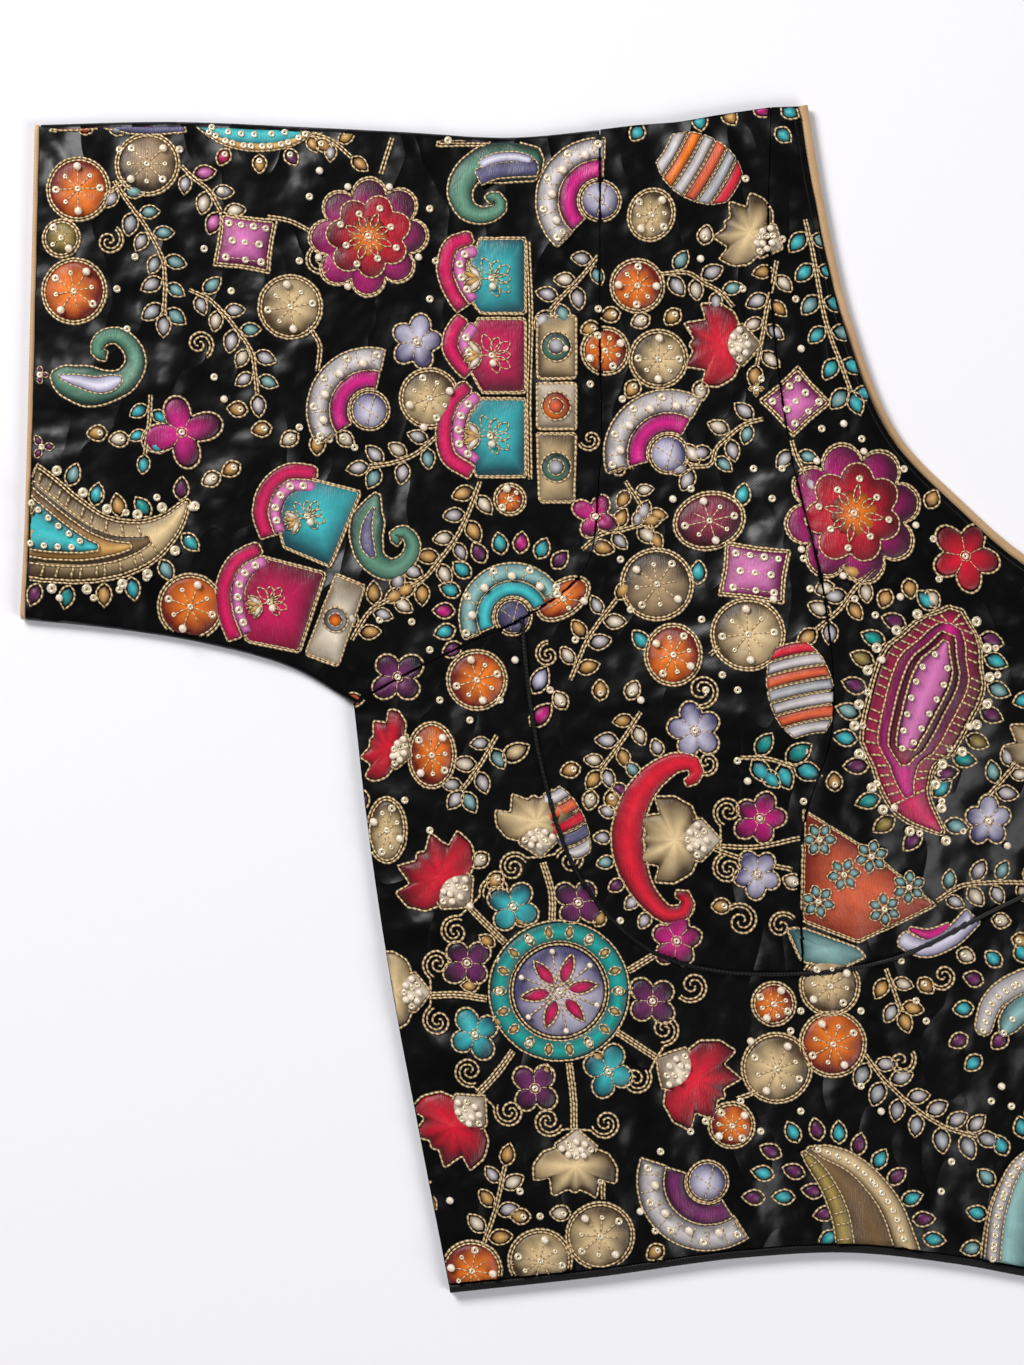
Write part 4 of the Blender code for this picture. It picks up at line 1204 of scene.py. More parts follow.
class Stitcher:
    """Puts satin patches, cords, sequins and pearls on the front, each kept inside the panel it is on."""

    PATCH_STEPS = ((0.0, -0.35), (0.0, 0.2), (0.05, 0.55), (0.16, 0.8), (0.36, 0.95), (0.65, 1.0), (1.0, 1.0))
    SMALL_STEPS = ((0.0, -0.6), (0.05, 0.45), (0.4, 1.0), (1.0, 1.1))
    CORD_WIDTH = 0.95 * MM
    CORD_HEIGHT = 0.85 * MM
    CORD_STEP = 0.95 * MM
    KEEP_IN = 0.12 * MM

    def __init__(self, plan: Plan, panels: dict[str, Array]) -> None:
        """Takes the panels' loops, drawn in a little so that nothing crosses a seam."""
        self.plan = plan
        self.loops: dict[Zone, Array] = {}
        self.boxes: dict[Zone, tuple[Array, Array]] = {}
        for zone in Zone:
            loop = panels[zone.value]
            self.loops[zone] = Curve.inset(loop, np.full(len(loop), self.KEEP_IN))
            self.boxes[zone] = (self.loops[zone].min(axis=0), self.loops[zone].max(axis=0))
        self.batches = {(zone, thing): Batch() for zone in Zone for thing in Thing}
        self.dice = np.random.default_rng(7)

    def reached(self, points: Array) -> list[Zone]:
        """The panels that hold any of the plan points."""
        low, high = points.min(axis=0), points.max(axis=0)
        near = [zone for zone in Zone if (self.boxes[zone][0] < high).all() and (self.boxes[zone][1] > low).all()]
        return [zone for zone in near if Curve.inside(points, self.loops[zone]).any()]

    @staticmethod
    def kept(points: Array, loop: Array) -> tuple[Array, Array]:
        """Points drawn onto the panel's edge where they fall outside it, and which of them did."""
        out = ~Curve.inside(points, loop)
        if out.any():
            ends = np.vstack([loop, loop[:1]])
            starts, along = ends[:-1], np.diff(ends, axis=0)
            offset = points[out][:, None, :] - starts[None, :, :]
            part = np.clip((offset * along).sum(axis=2) / np.maximum((along**2).sum(axis=1), FINE**2), 0.0, 1.0)
            near = starts + part[:, :, None] * along
            best = ((points[out][:, None, :] - near) ** 2).sum(axis=2).argmin(axis=1)
            points = points.copy()
            points[out] = near[np.arange(len(best)), best]
        return points, out

    def patch(self, outline: Array, dye: str, puff: float = 1.1 * MM, core: Optional[Array] = None,
              streak: float = 0.0, base: float = 0.0) -> None:
        """Sews on one padded satin patch.

        Args:
            outline: its plan outline, run anticlockwise.
            dye: the name of its dye.
            puff: its height.
            core: the points that its rings close in on, one for each of the outline's, or its middle.
            streak: how strongly its colour runs in rays from its middle.
            base: how far it starts above the cloth, where it is sewn on another patch.
        """
        centre = outline.mean(axis=0)
        core = np.tile(centre, (len(outline), 1)) if core is None else core
        steps = self.SMALL_STEPS if len(outline) <= 14 else self.PATCH_STEPS
        plan = np.vstack([outline + (core - outline) * share for share, _ in steps])
        rise = np.repeat([level for _, level in steps], len(outline)) * puff + base
        rise[:len(outline)] = -0.35 * MM if not base else base - 0.3 * MM
        share = np.repeat([share for share, _ in steps], len(outline)) ** 0.85
        away = np.tile(outline - centre, (len(steps), 1))
        size = np.linalg.norm(outline - centre, axis=1).max()
        # Each patch is painted lighter on one side and darker on the other: painted light and shade from a side chosen
        # at random for each patch.
        lit = self.dice.uniform(0.0, TAU)
        painted_light_lean = (away @ np.array([math.cos(lit), math.sin(lit)])) / size
        angle = np.arctan2(away[:, 1], away[:, 0])
        share = np.clip(share + 0.28 * painted_light_lean * (1.0 - share) + streak * np.sin(7.0 * angle + lit), 0.0, 1.0)
        rim, heart = np.array(DYES[dye].rim), np.array(DYES[dye].heart)
        tint = rim + (heart - rim) * share[:, None]
        faces = quads(len(steps), len(outline))
        for zone in self.reached(outline):
            spots, out = self.kept(plan, self.loops[zone])
            shown = faces[~out[faces].all(axis=1)]
            self.batches[zone, Thing.SATIN].add(spots, np.where(out, -0.2 * MM, rise), [shown], tint)

    def cord(self, line: Array, width: float = 1.0, base: float = 0.0, closed: bool = False) -> None:
        """Couches one cord along a plan line.

        Args:
            line: the line's points.
            width: its thickness beside the usual cord's.
            base: how far it starts above the cloth.
            closed: whether the line's end meets its start.
        """
        if closed:
            line = np.vstack([line, line[:1]])
        line = Curve.spaced(line, self.CORD_STEP)
        if len(line) < 2:
            return
        wobble = self.dice.normal(0.0, 0.05 * MM, line.shape)
        wobble[[0, -1]] = 0.0
        line = line + wobble
        for zone in self.reached(line):
            within = Curve.inside(line, self.loops[zone])
            cuts = np.flatnonzero(np.diff(within.astype(int))) + 1
            for part, keep in zip(np.split(line, cuts), np.split(within, cuts)):
                if keep[0] and len(part) > 1:
                    self._couch(zone, part, width, base)

    def _couch(self, zone: Zone, line: Array, width: float, base: float) -> None:
        """Adds one run of cord as a three-sided rod with closed ends."""
        ahead = np.gradient(line, axis=0)
        across = np.column_stack([-ahead[:, 1], ahead[:, 0]]) / np.linalg.norm(ahead, axis=1)[:, None]
        half, tall = self.CORD_WIDTH * width / 2.0, self.CORD_HEIGHT * width + base
        plan = np.stack([line - across * half, line + across * half, line], axis=1).reshape(-1, 2)
        rise = np.tile([base - 0.12 * MM, base - 0.12 * MM, tall], len(line))
        reach = np.concatenate([[0.0], np.cumsum(np.linalg.norm(np.diff(line, axis=0), axis=1))])
        run = np.repeat(reach + self.dice.uniform(0.0, 3.0 * MM), 3)
        last = len(plan) - 1
        ends = np.array([[2, 1, 0], [last - 2, last - 1, last]])
        self.batches[zone, Thing.CORD].add(plan, rise, [quads(len(line), 3), ends], run)

    def _round(self, thing: Thing, spot: Array, rings: Sequence[tuple[float, float]], around: int,
               top: bool) -> None:
        """Adds one round part from rings of (radius, rise)."""
        angles = np.linspace(0.0, TAU, around, endpoint=False) + self.dice.uniform(0.0, 1.0)
        circle = np.column_stack([np.cos(angles), np.sin(angles)])
        plan = np.vstack([spot + circle * radius for radius, _ in rings])
        rise = np.repeat([level for _, level in rings], around)
        faces = [quads(len(rings), around)]
        if top:
            last = (len(rings) - 1) * around
            faces.append(np.arange(last, last + around)[None, :])
        for zone in self.reached(spot[None, :]):
            self.batches[zone, thing].add(plan, rise, faces)

    def sequin(self, spot: Sequence[float], size: float = 1.0, base: float = 0.0) -> None:
        """Sews on one cupped sequin with a hole."""
        r = 1.3 * MM * size
        rings = ((r, base - 0.1 * MM), (r, base + 0.35 * r), (0.72 * r, base + 0.62 * r),
                 (0.34 * r, base + 0.5 * r), (0.26 * r, base))
        self._round(Thing.SEQUIN, np.asarray(spot), rings, 9, True)

    def pearl(self, spot: Sequence[float], size: float = 1.0, base: float = 0.0) -> None:
        """Sews on one round pearl."""
        r = 1.35 * MM * size
        rings = ((0.75 * r, base - 0.1 * MM), (r, base + 0.6 * r), (0.8 * r, base + 1.25 * r),
                 (0.35 * r, base + 1.55 * r))
        self._round(Thing.PEARL, np.asarray(spot), rings, 8, True)

    def build(self) -> list[bpy.types.Object]:
        """Makes one piece for each panel, side and kind of thing."""
        finishes = {
            Thing.SATIN: AppliqueSatin().make(),
            Thing.CORD: GoldCord().make(),
            Thing.SEQUIN: Glossy("cream_gold_sequin", linear(188, 162, 116), linear(250, 240, 218), 0.3, 0.22).make(),
            Thing.PEARL: Glossy("ivory_pearl", linear(206, 180, 146), linear(250, 240, 224), 0.0, 0.16).make(),
        }
        made = []
        for (zone, thing), batch in self.batches.items():
            if not batch.count:
                continue
            for side in Side:
                piece = self._sewn(f"{thing.value}_{zone.value}_{side.word}", batch, side, finishes[thing])
                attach(piece, "root")
                made.append(piece)
        return made

    def _sewn(self, name: str, batch: Batch, side: Side, material: bpy.types.Material) -> bpy.types.Object:
        """One batch as a mesh on one half of the front."""
        plan = np.vstack(batch.plan) * np.array([float(side.value), 1.0])
        points = np.column_stack([plan, self.plan.creased(plan) + np.concatenate(batch.rise)])
        faces = [face for part in batch.faces for face in (part if side is Side.RIGHT else part[:, ::-1]).tolist()]
        mesh = bpy.data.meshes.new(name)
        mesh.from_pydata(points.tolist(), [], faces)
        if batch.value:
            values = np.concatenate(batch.value)
            if values.ndim == 1:
                mesh.attributes.new("run", "FLOAT", "POINT").data.foreach_set("value", values)
            else:
                tint = mesh.attributes.new("tint", "FLOAT_COLOR", "POINT")
                tint.data.foreach_set("color", np.column_stack([values, np.ones(len(values))]).ravel())
        mesh.shade_smooth()
        mesh.materials.append(material)
        made = bpy.data.objects.new(name, mesh)
        bpy.context.scene.collection.objects.link(made)
        LOG.info("%s: %d faces", name, len(faces))
        return made


class Pen:
    """Draws on the blouse's left half in the photograph's own sense, with X to the right and Y up."""

    def __init__(self, stitcher: Stitcher) -> None:
        """Takes the stitcher that sews what is drawn."""
        self.stitcher = stitcher
        self.dice = np.random.default_rng(11)

    @staticmethod
    def spot(column: float, row: float) -> Array:
        """The place on the cloth of a pixel of the photograph, in metres."""
        return np.array([(column - CENTRE_COLUMN) * PIXEL, (MIDDLE_ROW - row) * PIXEL]) * MM

    @classmethod
    def path(cls, *pixels: tuple[float, float], smooth: bool = True) -> Array:
        """A line through pixels of the photograph, in metres."""
        knots = np.array([cls.spot(*pixel) for pixel in pixels])
        return Curve.smooth(knots) if smooth and len(knots) > 2 else knots

    @staticmethod
    def flipped(points: Array) -> Array:
        """Points of the left half as the stitcher's own, which are on the right."""
        return points * np.array([-1.0, 1.0])

    def patch(self, outline: Array, dye: str, puff: float = 1.1, core: Optional[Array] = None,
              streak: float = 0.0, base: float = 0.0) -> None:
        """Sews a satin patch, with its puff and base in mm."""
        outline = self.flipped(outline)
        core = None if core is None else self.flipped(core)
        if Curve.area(outline) < 0.0:
            outline, core = outline[::-1], None if core is None else core[::-1]
        self.stitcher.patch(outline, dye, puff * MM, core, streak, base * MM)

    def cord(self, line: Array, width: float = 1.0, base: float = 0.0, closed: bool = False) -> None:
        """Couches a cord, with its base in mm."""
        self.stitcher.cord(self.flipped(line), width, base * MM, closed)

    def double(self, line: Array, apart: float = 0.95, closed: bool = False, base: float = 0.0) -> None:
        """Couches two cords side by side, `apart` mm between their middles."""
        ahead = np.gradient(line, axis=0)
        across = np.column_stack([-ahead[:, 1], ahead[:, 0]]) / np.linalg.norm(ahead, axis=1)[:, None]
        for way in (-0.5, 0.5):
            self.cord(line + across * apart * MM * way, 0.9, base, closed)

    def sequin(self, spot: Array, size: float = 1.0, base: float = 0.0) -> None:
        """Sews a sequin, with its base in mm."""
        self.stitcher.sequin(self.flipped(spot), size, base * MM)

    def pearl(self, spot: Array, size: float = 1.0, base: float = 0.0) -> None:
        """Sews a pearl, with its base in mm."""
        self.stitcher.pearl(self.flipped(spot), size, base * MM)


class Outline:
    """Outlines of motifs in the plan, with sizes in mm and turns in degrees."""

    @staticmethod
    def turned(points: Array, turn: float) -> Array:
        """Points turned about the origin."""
        angle = math.radians(turn)
        cos, sin = math.cos(angle), math.sin(angle)
        return points @ np.array([[cos, sin], [-sin, cos]])

    @classmethod
    def oval(cls, centre: Array, across: float, along: float, turn: float = 0.0, count: int = 36) -> Array:
        """An oval of two half sizes."""
        angles = np.linspace(0.0, TAU, count, endpoint=False)
        points = np.column_stack([np.cos(angles) * across, np.sin(angles) * along]) * MM
        return centre + cls.turned(points, turn)

    @classmethod
    def petalled(cls, centre: Array, radius: float, petals: int, notch: float, turn: float = 0.0,
                 uneven: float = 0.0, count: int = 64, point: float = 0.7) -> Array:
        """A flower's outline, with round petals and notches of the given share between them."""
        angles = np.linspace(0.0, TAU, count, endpoint=False)
        lobes = np.abs(np.cos(0.5 * petals * angles)) ** point
        reach = radius * (1.0 - notch * (1.0 - lobes)) * (1.0 + uneven * np.sin(2.0 * angles + turn))
        points = np.column_stack([np.cos(angles), np.sin(angles)]) * reach[:, None] * MM
        return centre + cls.turned(points, turn)

    @classmethod
    def block(cls, centre: Array, across: float, along: float, turn: float = 0.0) -> Array:
        """A four-cornered outline whose sides are drawn in a little."""
        corners = np.array([(-across, -along), (across, -along), (across, along), (-across, along)]) * MM
        sides = []
        for start, end in zip(corners, np.roll(corners, -1, axis=0)):
            t = np.linspace(0.0, 1.0, 9, endpoint=False)[:, None]
            side = start + (end - start) * t
            sides.append(side * (1.0 - 0.05 * np.sin(math.pi * t)))
        return centre + cls.turned(np.vstack(sides), turn)

    @staticmethod
    def leaf(base: Array, tip: Array, width: float, count: int = 6, full: float = 0.75) -> Array:
        """A leaf from its base to its tip, `width` mm across, with `count` points a side."""
        along = tip - base
        across = np.array([-along[1], along[0]]) / np.linalg.norm(along) * width * MM / 2.0
        t = np.linspace(0.0, 1.0, count + 1)[:, None]
        swell = np.sin(math.pi * t ** 0.85) ** full
        upper = base + along * t + across * swell
        lower = base + along * t - across * swell
        return np.vstack([lower[:-1], upper[1:][::-1]])

    @staticmethod
    def swept(spine: Array, widths: Sequence[float], count: int = 30) -> tuple[Array, Array]:
        """A band along a spine whose full width in mm runs through the given ones.

        Returns:
            Its outline, and the spine's point for each of the outline's.
        """
        reach = np.concatenate([[0.0], np.cumsum(np.linalg.norm(np.diff(spine, axis=0), axis=1))])
        line = Curve.spaced(spine, reach[-1] / count)
        knots = np.linspace(0.0, 1.0, len(widths))
        bands = Curve.smooth(np.column_stack([knots, widths]))
        half = np.interp(np.linspace(0.0, 1.0, len(line)), bands[:, 0], bands[:, 1]) * MM / 2.0
        half = np.maximum(half, 0.05 * MM)[:, None]
        ahead = np.gradient(line, axis=0)
        across = np.column_stack([-ahead[:, 1], ahead[:, 0]]) / np.linalg.norm(ahead, axis=1)[:, None]
        outline = np.vstack([line - across * half, (line + across * half)[::-1]])
        # The rings close in on the spine a little short of its ends, so that those are rounded off too.
        ends = np.clip(np.arange(len(line)), 2, len(line) - 3)
        core = line[ends]
        return outline, np.vstack([core, core[::-1]])

    @staticmethod
    def spiral(centre: Array, radius: float, start: float, turns: float, count: int = 40) -> Array:
        """A spiral that winds in from `radius` mm, clockwise where `turns` is negative."""
        share = np.linspace(0.0, 1.0, count)
        angles = math.radians(start) + TAU * turns * share
        reach = radius * MM * (1.0 - 0.86 * share)
        return centre + np.column_stack([np.cos(angles), np.sin(angles)]) * reach[:, None]


@dataclass(frozen=True)
class Medallion:
    """A padded round or oval with a doubled rim, spoke threads and a few pearls and sequins."""

    column: float
    row: float
    across: float
    along: float
    dye: str
    turn: float = 0.0
    beads: int = 4
    spokes: int = 8

    def draw(self, pen: Pen) -> None:
        """Sews it."""
        centre = pen.spot(self.column, self.row)
        pen.patch(Outline.oval(centre, self.across - 1.25, self.along - 1.25, self.turn), self.dye, 1.3, streak=0.1)
        for inset in (0.0, 0.9):
            rim = Outline.oval(centre, self.across - inset, self.along - inset, self.turn)
            pen.cord(rim, 1.0, closed=True)
        first = pen.dice.uniform(0.0, 360.0)
        for number in range(self.spokes):
            angle = first + 360.0 * number / self.spokes
            way = Outline.turned(np.array([[self.across, 0.0]]) * MM, angle)[0]
            way = way * np.array([1.0, self.along / self.across])
            reach = 0.66 if number % 2 else 0.5
            pen.cord(np.array([centre + way * 0.12, centre + way * reach]), 0.62, 1.15)
            if number % 2 and number // 2 < self.beads:
                bead = pen.pearl if number % 4 == 1 else pen.sequin
                bead(centre + way * 0.7, 1.0, 0.9)
            elif number // 2 < self.beads - 1:
                pen.sequin(centre + way * 0.56, 0.62, 1.15)
        pen.sequin(centre, 0.8, 1.25)


@dataclass(frozen=True)
class Square:
    """A padded square with a doubled rim, and sequins in rows joined by threads."""

    column: float
    row: float
    across: float
    along: float
    dye: str
    turn: float = 0.0

    def draw(self, pen: Pen) -> None:
        """Sews it."""
        centre = pen.spot(self.column, self.row)
        pen.patch(Outline.block(centre, self.across - 1.2, self.along - 1.2, self.turn), self.dye, 1.3)
        for inset in (0.0, 0.9):
            rim = Outline.block(centre, self.across - inset, self.along - inset, self.turn)
            pen.cord(rim, 1.0, closed=True)
        for along, places in ((0.62, (-0.66, -0.22, 0.22, 0.66)), (0.0, (-0.45, 0.0, 0.5)), (-0.64, (-0.6, 0.1, 0.66))):
            row = [Outline.turned(np.array([[self.across * place, self.along * along]]) * MM, self.turn)[0] + centre
                   for place in places]
            pen.cord(np.array(row), 0.42, 1.15)
            for number, spot in enumerate(row):
                pen.sequin(spot, 0.85 if number % 2 else 1.0, 1.1)


@dataclass(frozen=True)
class Flower:
    """A small flower of padded satin in one cord outline, with a bead at its middle and thread veins."""

    column: float
    row: float
    radius: float
    petals: int
    dye: str
    turn: float = 0.0
    notch: float = 0.38
    point: float = 0.8

    def draw(self, pen: Pen) -> None:
        """Sews it."""
        centre = pen.spot(self.column, self.row)
        outline = Outline.petalled(centre, self.radius, self.petals, self.notch, self.turn, 0.06, point=self.point)
        pen.patch(centre + (outline - centre) * 0.92, self.dye, 1.2, streak=0.08)
        pen.cord(outline, 1.0, closed=True)
        for number in range(self.petals):
            way = Outline.turned(np.array([[self.radius, 0.0]]) * MM, self.turn + 360.0 / self.petals * (number + 0.5))[0]
            pen.cord(np.array([centre + way * 0.15, centre + way * (0.95 - self.notch)]), 0.5, 0.95)
        pen.cord(Outline.oval(centre, 1.7, 1.7, count=12), 0.55, 1.1, closed=True)
        pen.sequin(centre, 0.85, 1.15)


@dataclass(frozen=True)
class Bloom:
    """A double flower of eight petals: a broad one, a smaller one on it, and looped stamens."""

    column: float
    row: float
    radius: float
    turn: float = 0.0

    def draw(self, pen: Pen) -> None:
        """Sews it."""
        centre = pen.spot(self.column, self.row)
        outer = Outline.petalled(centre, self.radius, 8, 0.24, self.turn, 0.03, 80)
        inner = Outline.petalled(centre, 0.7 * self.radius, 7, 0.26, self.turn + 20.0, 0.04, 80)
        pen.patch(centre + (outer - centre) * 0.95, "magenta", 1.0, streak=0.1)
        pen.cord(outer, 1.0, closed=True)
        pen.cord(centre + (outer - centre) * 0.96, 0.8, closed=True)
        pen.patch(inner, "red", 0.9, base=0.9)
        pen.cord(inner, 0.85, 0.9, closed=True)
        pen.patch(Outline.petalled(centre, 0.34 * self.radius, 8, 0.3, self.turn, count=32), "orange", 0.4, base=1.7)
        for number in range(8):
            angle = self.turn + 45.0 * number + 22.5
            way = Outline.turned(np.array([[self.radius, 0.0]]) * MM, angle)[0]
            loop = Outline.leaf(centre + way * 0.14, centre + way * (0.42 if number % 2 else 0.36), 2.2)
            pen.cord(loop, 0.6, 1.9, closed=True)
            pen.sequin(centre + way * (0.5 if number % 2 else 0.4), 0.9, 1.75)
            if number % 3:
                pen.pearl(centre + way * 0.9, 0.9, 0.3)
        pen.cord(Outline.oval(centre, 1.7, 1.7), 0.7, 1.9, closed=True)
        pen.sequin(centre, 0.9, 1.9)


@dataclass(frozen=True)
class Band:
    """A padded band of satin along a spine, outlined in cord."""

    spine: tuple[tuple[float, float], ...]
    widths: tuple[float, ...]
    dye: str
    puff: float = 1.2
    base: float = 0.0
    rim: float = 1.0
    dashes: float = 0.0
    beads: float = 0.0
    smooth: bool = True

    def draw(self, pen: Pen) -> None:
        """Sews it, with thread dashes across it or sequins along it where they are that many mm apart."""
        spine = pen.path(*self.spine, smooth=self.smooth)
        outline, core = Outline.swept(spine, self.widths)
        inner = core + (outline - core) * 0.94
        pen.patch(inner, self.dye, self.puff, core, base=self.base)
        if self.rim:
            pen.cord(outline, self.rim, self.base, closed=True)
        count = len(outline) // 2
        lower, upper = outline[:count], outline[count:][::-1]
        reach = np.linalg.norm(np.diff(spine, axis=0), axis=1).sum() / MM
        for spacing, sew in ((self.dashes, "dash"), (self.beads, "bead")):
            if not spacing:
                continue
            for share in np.linspace(0.04, 0.96, max(2, int(reach / spacing))):
                here = int(share * (count - 1))
                start, end = lower[here], upper[here]
                if sew == "dash":
                    pen.cord(start + (end - start) * np.array([[0.12], [0.88]]), 0.6, self.base + 0.9 * self.puff)
                else:
                    pen.sequin((start + end) / 2.0, 0.85, self.base + 0.9 * self.puff)


@dataclass(frozen=True)
class Paisley:
    """A large paisley in rings, its border ribbed with thread, with drops and sequins all round it."""

    spine: tuple[tuple[float, float], ...]
    widths: tuple[float, ...]
    rings: tuple[tuple[float, str], ...]
    drops: tuple[str, ...]
    rib: float = 3.4
    pitch: float = 8.6
    long: float = 8.4

    def draw(self, pen: Pen) -> None:
        """Sews it from the border inward."""
        outline, core = Outline.swept(pen.path(*self.spine), self.widths)
        inward = core - outline
        depth = np.linalg.norm(inward, axis=1)
        inward = inward / np.maximum(depth, 1e-9)[:, None]
        for number, (border, dye) in enumerate(self.rings):
            held = depth > (border + 0.7) * MM
            ring = (outline + inward * border * MM)[held]
            pen.patch(ring + (core[held] - ring) * 0.04, dye, 0.9, core[held], base=0.42 * number)
            pen.cord(ring, 1.0 if number == 0 else 0.8, 0.78 * number, closed=True)
        wide = self.rings[1][0]
        travelled = np.r_[0.0, np.cumsum(np.linalg.norm(np.diff(outline, axis=0), axis=1))] / MM
        for place in np.arange(1.5, travelled[-1], self.rib):
            here = int(np.searchsorted(travelled, place))
            if depth[here] > (wide + 0.7) * MM:
                foot = outline[here] + inward[here] * 0.9 * MM
                pen.cord(np.array([foot, outline[here] + inward[here] * (wide - 0.5) * MM]), 0.9, 0.9)
        outer = outline - inward * 1.0 * MM
        pen.cord(outer, 0.9, closed=True)
        for number, place in enumerate(np.arange(3.0, travelled[-1] - 3.0, self.pitch)):
            here, later = (int(np.searchsorted(travelled, where)) for where in (place, place + 0.5 * self.pitch))
            foot = outer[here] - inward[here] * 0.6 * MM
            leaf(pen, foot, foot - inward[here] * self.long * MM, 0.64 * self.long,
                 self.drops[number % len(self.drops)], 0.9)
            pen.sequin(outer[min(later, len(outer) - 1)] - inward[min(later, len(outer) - 1)] * 2.0 * MM, 1.3, 0.4)
        deepest = outline + inward * (self.rings[-1][0] + 1.9) * MM
        held = np.flatnonzero(depth > (self.rings[-1][0] + 2.4) * MM)
        for here in held[::max(1, len(held) // 9)]:
            pen.sequin(deepest[here], 0.85, 0.45 * len(self.rings) + 0.6)


@dataclass(frozen=True)
class Fan:
    """A pearl band and a magenta band curved round a lavender ball."""

    column: float
    row: float
    start: float
    end: float
    dye: str = "magenta"
    ball: float = 6.5
    middle: float = 13.6
    reach: float = 21.0
    band: str = "silver"
    heart: str = "lavender"

    def arc(self, centre: Array, radius: float, start: float, end: float) -> Array:
        """Part of a circle round the ball."""
        angles = np.radians(np.linspace(start, end, 24))
        return centre + np.column_stack([np.cos(angles), np.sin(angles)]) * radius * MM

    def draw(self, pen: Pen) -> None:
        """Sews it."""
        centre = pen.spot(self.column, self.row)
        for inner, outer, dye in ((self.ball + 0.6, self.middle, self.dye), (self.middle, self.reach, self.band)):
            spine = self.arc(centre, (inner + outer) / 2.0, self.start, self.end)
            outline, core = Outline.swept(spine, (outer - inner,) * 3)
            pen.patch(core + (outline - core) * 0.92, dye, 1.3, core)
            pen.cord(outline, 1.0, closed=True)
        wide = (self.middle + self.reach) / 2.0
        for number, angle in enumerate(np.linspace(self.start + 7.0, self.end - 7.0, 9)):
            bead = pen.pearl if number % 2 else pen.sequin
            bead(self.arc(centre, wide + 1.4 * (-1) ** number, angle, angle)[0], 1.05, 1.0)
            edge = [self.arc(centre, radius, angle + 6.0, angle + 6.0)[0] for radius in (self.middle + 1, self.reach - 1)]
            pen.cord(np.array(edge), 0.5, 1.1)
            pen.cord(Outline.spiral(self.arc(centre, wide - 1.6, angle + 2.0, angle)[0], 1.4, angle, 0.8, 12), 0.45, 1.2)
        pen.patch(Outline.oval(centre, self.ball - 1.0, self.ball - 0.8), self.heart, 1.8)
        for inset in (0.0, 0.9):
            pen.cord(Outline.oval(centre, self.ball - inset, self.ball - inset), 0.9, closed=True)
        for turn in (70.0, -40.0):
            ends = self.arc(centre, self.ball - 1.2, turn, turn)[0], self.arc(centre, self.ball - 1.6, turn + 190, turn)[0]
            pen.cord(np.array(ends), 0.4, 1.75)


@dataclass(frozen=True)
class Cell:
    """A straight-sided satin cell with a cord round it, and a gold sprig where a size is given."""

    corners: tuple[tuple[float, float], ...]
    dye: str
    sprig: float = 0.0
    turn: float = 0.0
    rim: float = 1.0
    puff: float = 1.1

    def draw(self, pen: Pen) -> None:
        """Sews it."""
        corners = pen.path(*self.corners, smooth=False)
        centre = corners.mean(axis=0)
        outline = Curve.spaced(np.vstack([corners, corners[:1]]), 1.6 * MM)[:-1]
        pen.patch(centre + (outline - centre) * 0.97, self.dye, self.puff)
        if self.rim:
            pen.cord(outline, self.rim, closed=True)
            pen.cord(centre + (outline - centre) * 0.955, 0.8 * self.rim, closed=True)
        if self.sprig:
            sprig(pen, centre, self.sprig, self.turn, self.puff)


def sprig(pen: Pen, centre: Array, size: float, turn: float, base: float) -> None:
    """Sews a gold flower sprig on a patch: looped petals round a pearl, on a short leafy stem."""
    for number, angle in enumerate((-70, -35, 0, 35, 70, 112)):
        way = Outline.turned(np.array([[size, 0.0]]) * MM, turn + angle)[0]
        loop = Outline.leaf(centre + way * 0.15, centre + way * (1.0 if number % 2 else 0.85), 0.42 * size)
        pen.cord(loop, 0.55, base, closed=True)
    back = Outline.turned(np.array([[size, 0.0]]) * MM, turn + 180.0)[0]
    pen.cord(np.array([centre, centre + back * 1.25]), 0.6, base)
    for angle in (-48, 48, -20, 20):
        way = Outline.turned(np.array([[size, 0.0]]) * MM, turn + 180.0 + angle)[0]
        foot = centre + back * 0.45
        tip = foot + way * 0.8
        pen.patch(Outline.leaf(foot, tip, 0.3 * size, 4), "ivory" if abs(angle) > 30 else "ochre", 0.5, base=base)
        pen.cord(Outline.leaf(foot, tip, 0.4 * size), 0.55, base, closed=True)
    pen.pearl(centre + Outline.turned(np.array([[0.35 * size, 0.0]]) * MM, turn - 80.0)[0], 0.9, base)
    pen.sequin(centre, 0.8, base)


@dataclass(frozen=True)
class Stripes:
    """Striped satin in an oval frame, each stripe padded and edged with cord."""

    column: float
    row: float
    across: float
    along: float
    turn: float
    dyes: tuple[str, ...]

    def draw(self, pen: Pen) -> None:
        """Sews it."""
        centre = pen.spot(self.column, self.row)
        step = 2.0 * self.across / len(self.dyes)
        rows = np.linspace(-1.0, 1.0, 9)
        for number, dye in enumerate(self.dyes):
            low = -self.across + step * (number + 0.06)
            high = low + step * 0.88
            sides = []
            for place in (low, high):
                half = self.along * math.sqrt(max(0.12, 1.0 - (abs(place) / (self.across * 1.12)) ** 2))
                bow = 0.5 * (1.0 - rows**2)
                sides.append(np.column_stack([place + bow, rows * half]))
            outline = np.vstack([sides[0], sides[1][::-1]]) * MM
            middle = np.vstack([(sides[0] + sides[1]) / 2.0] * 2)[:, :] * MM
            core = np.vstack([middle[:9], middle[:9][::-1]]) * np.array([1.0, 0.86])
            outline, core = (Outline.turned(one, self.turn) + centre for one in (outline, core))
            pen.patch(core + (outline - core) * 0.92, dye, 1.3, core)
            pen.cord(outline, 0.85, closed=True)


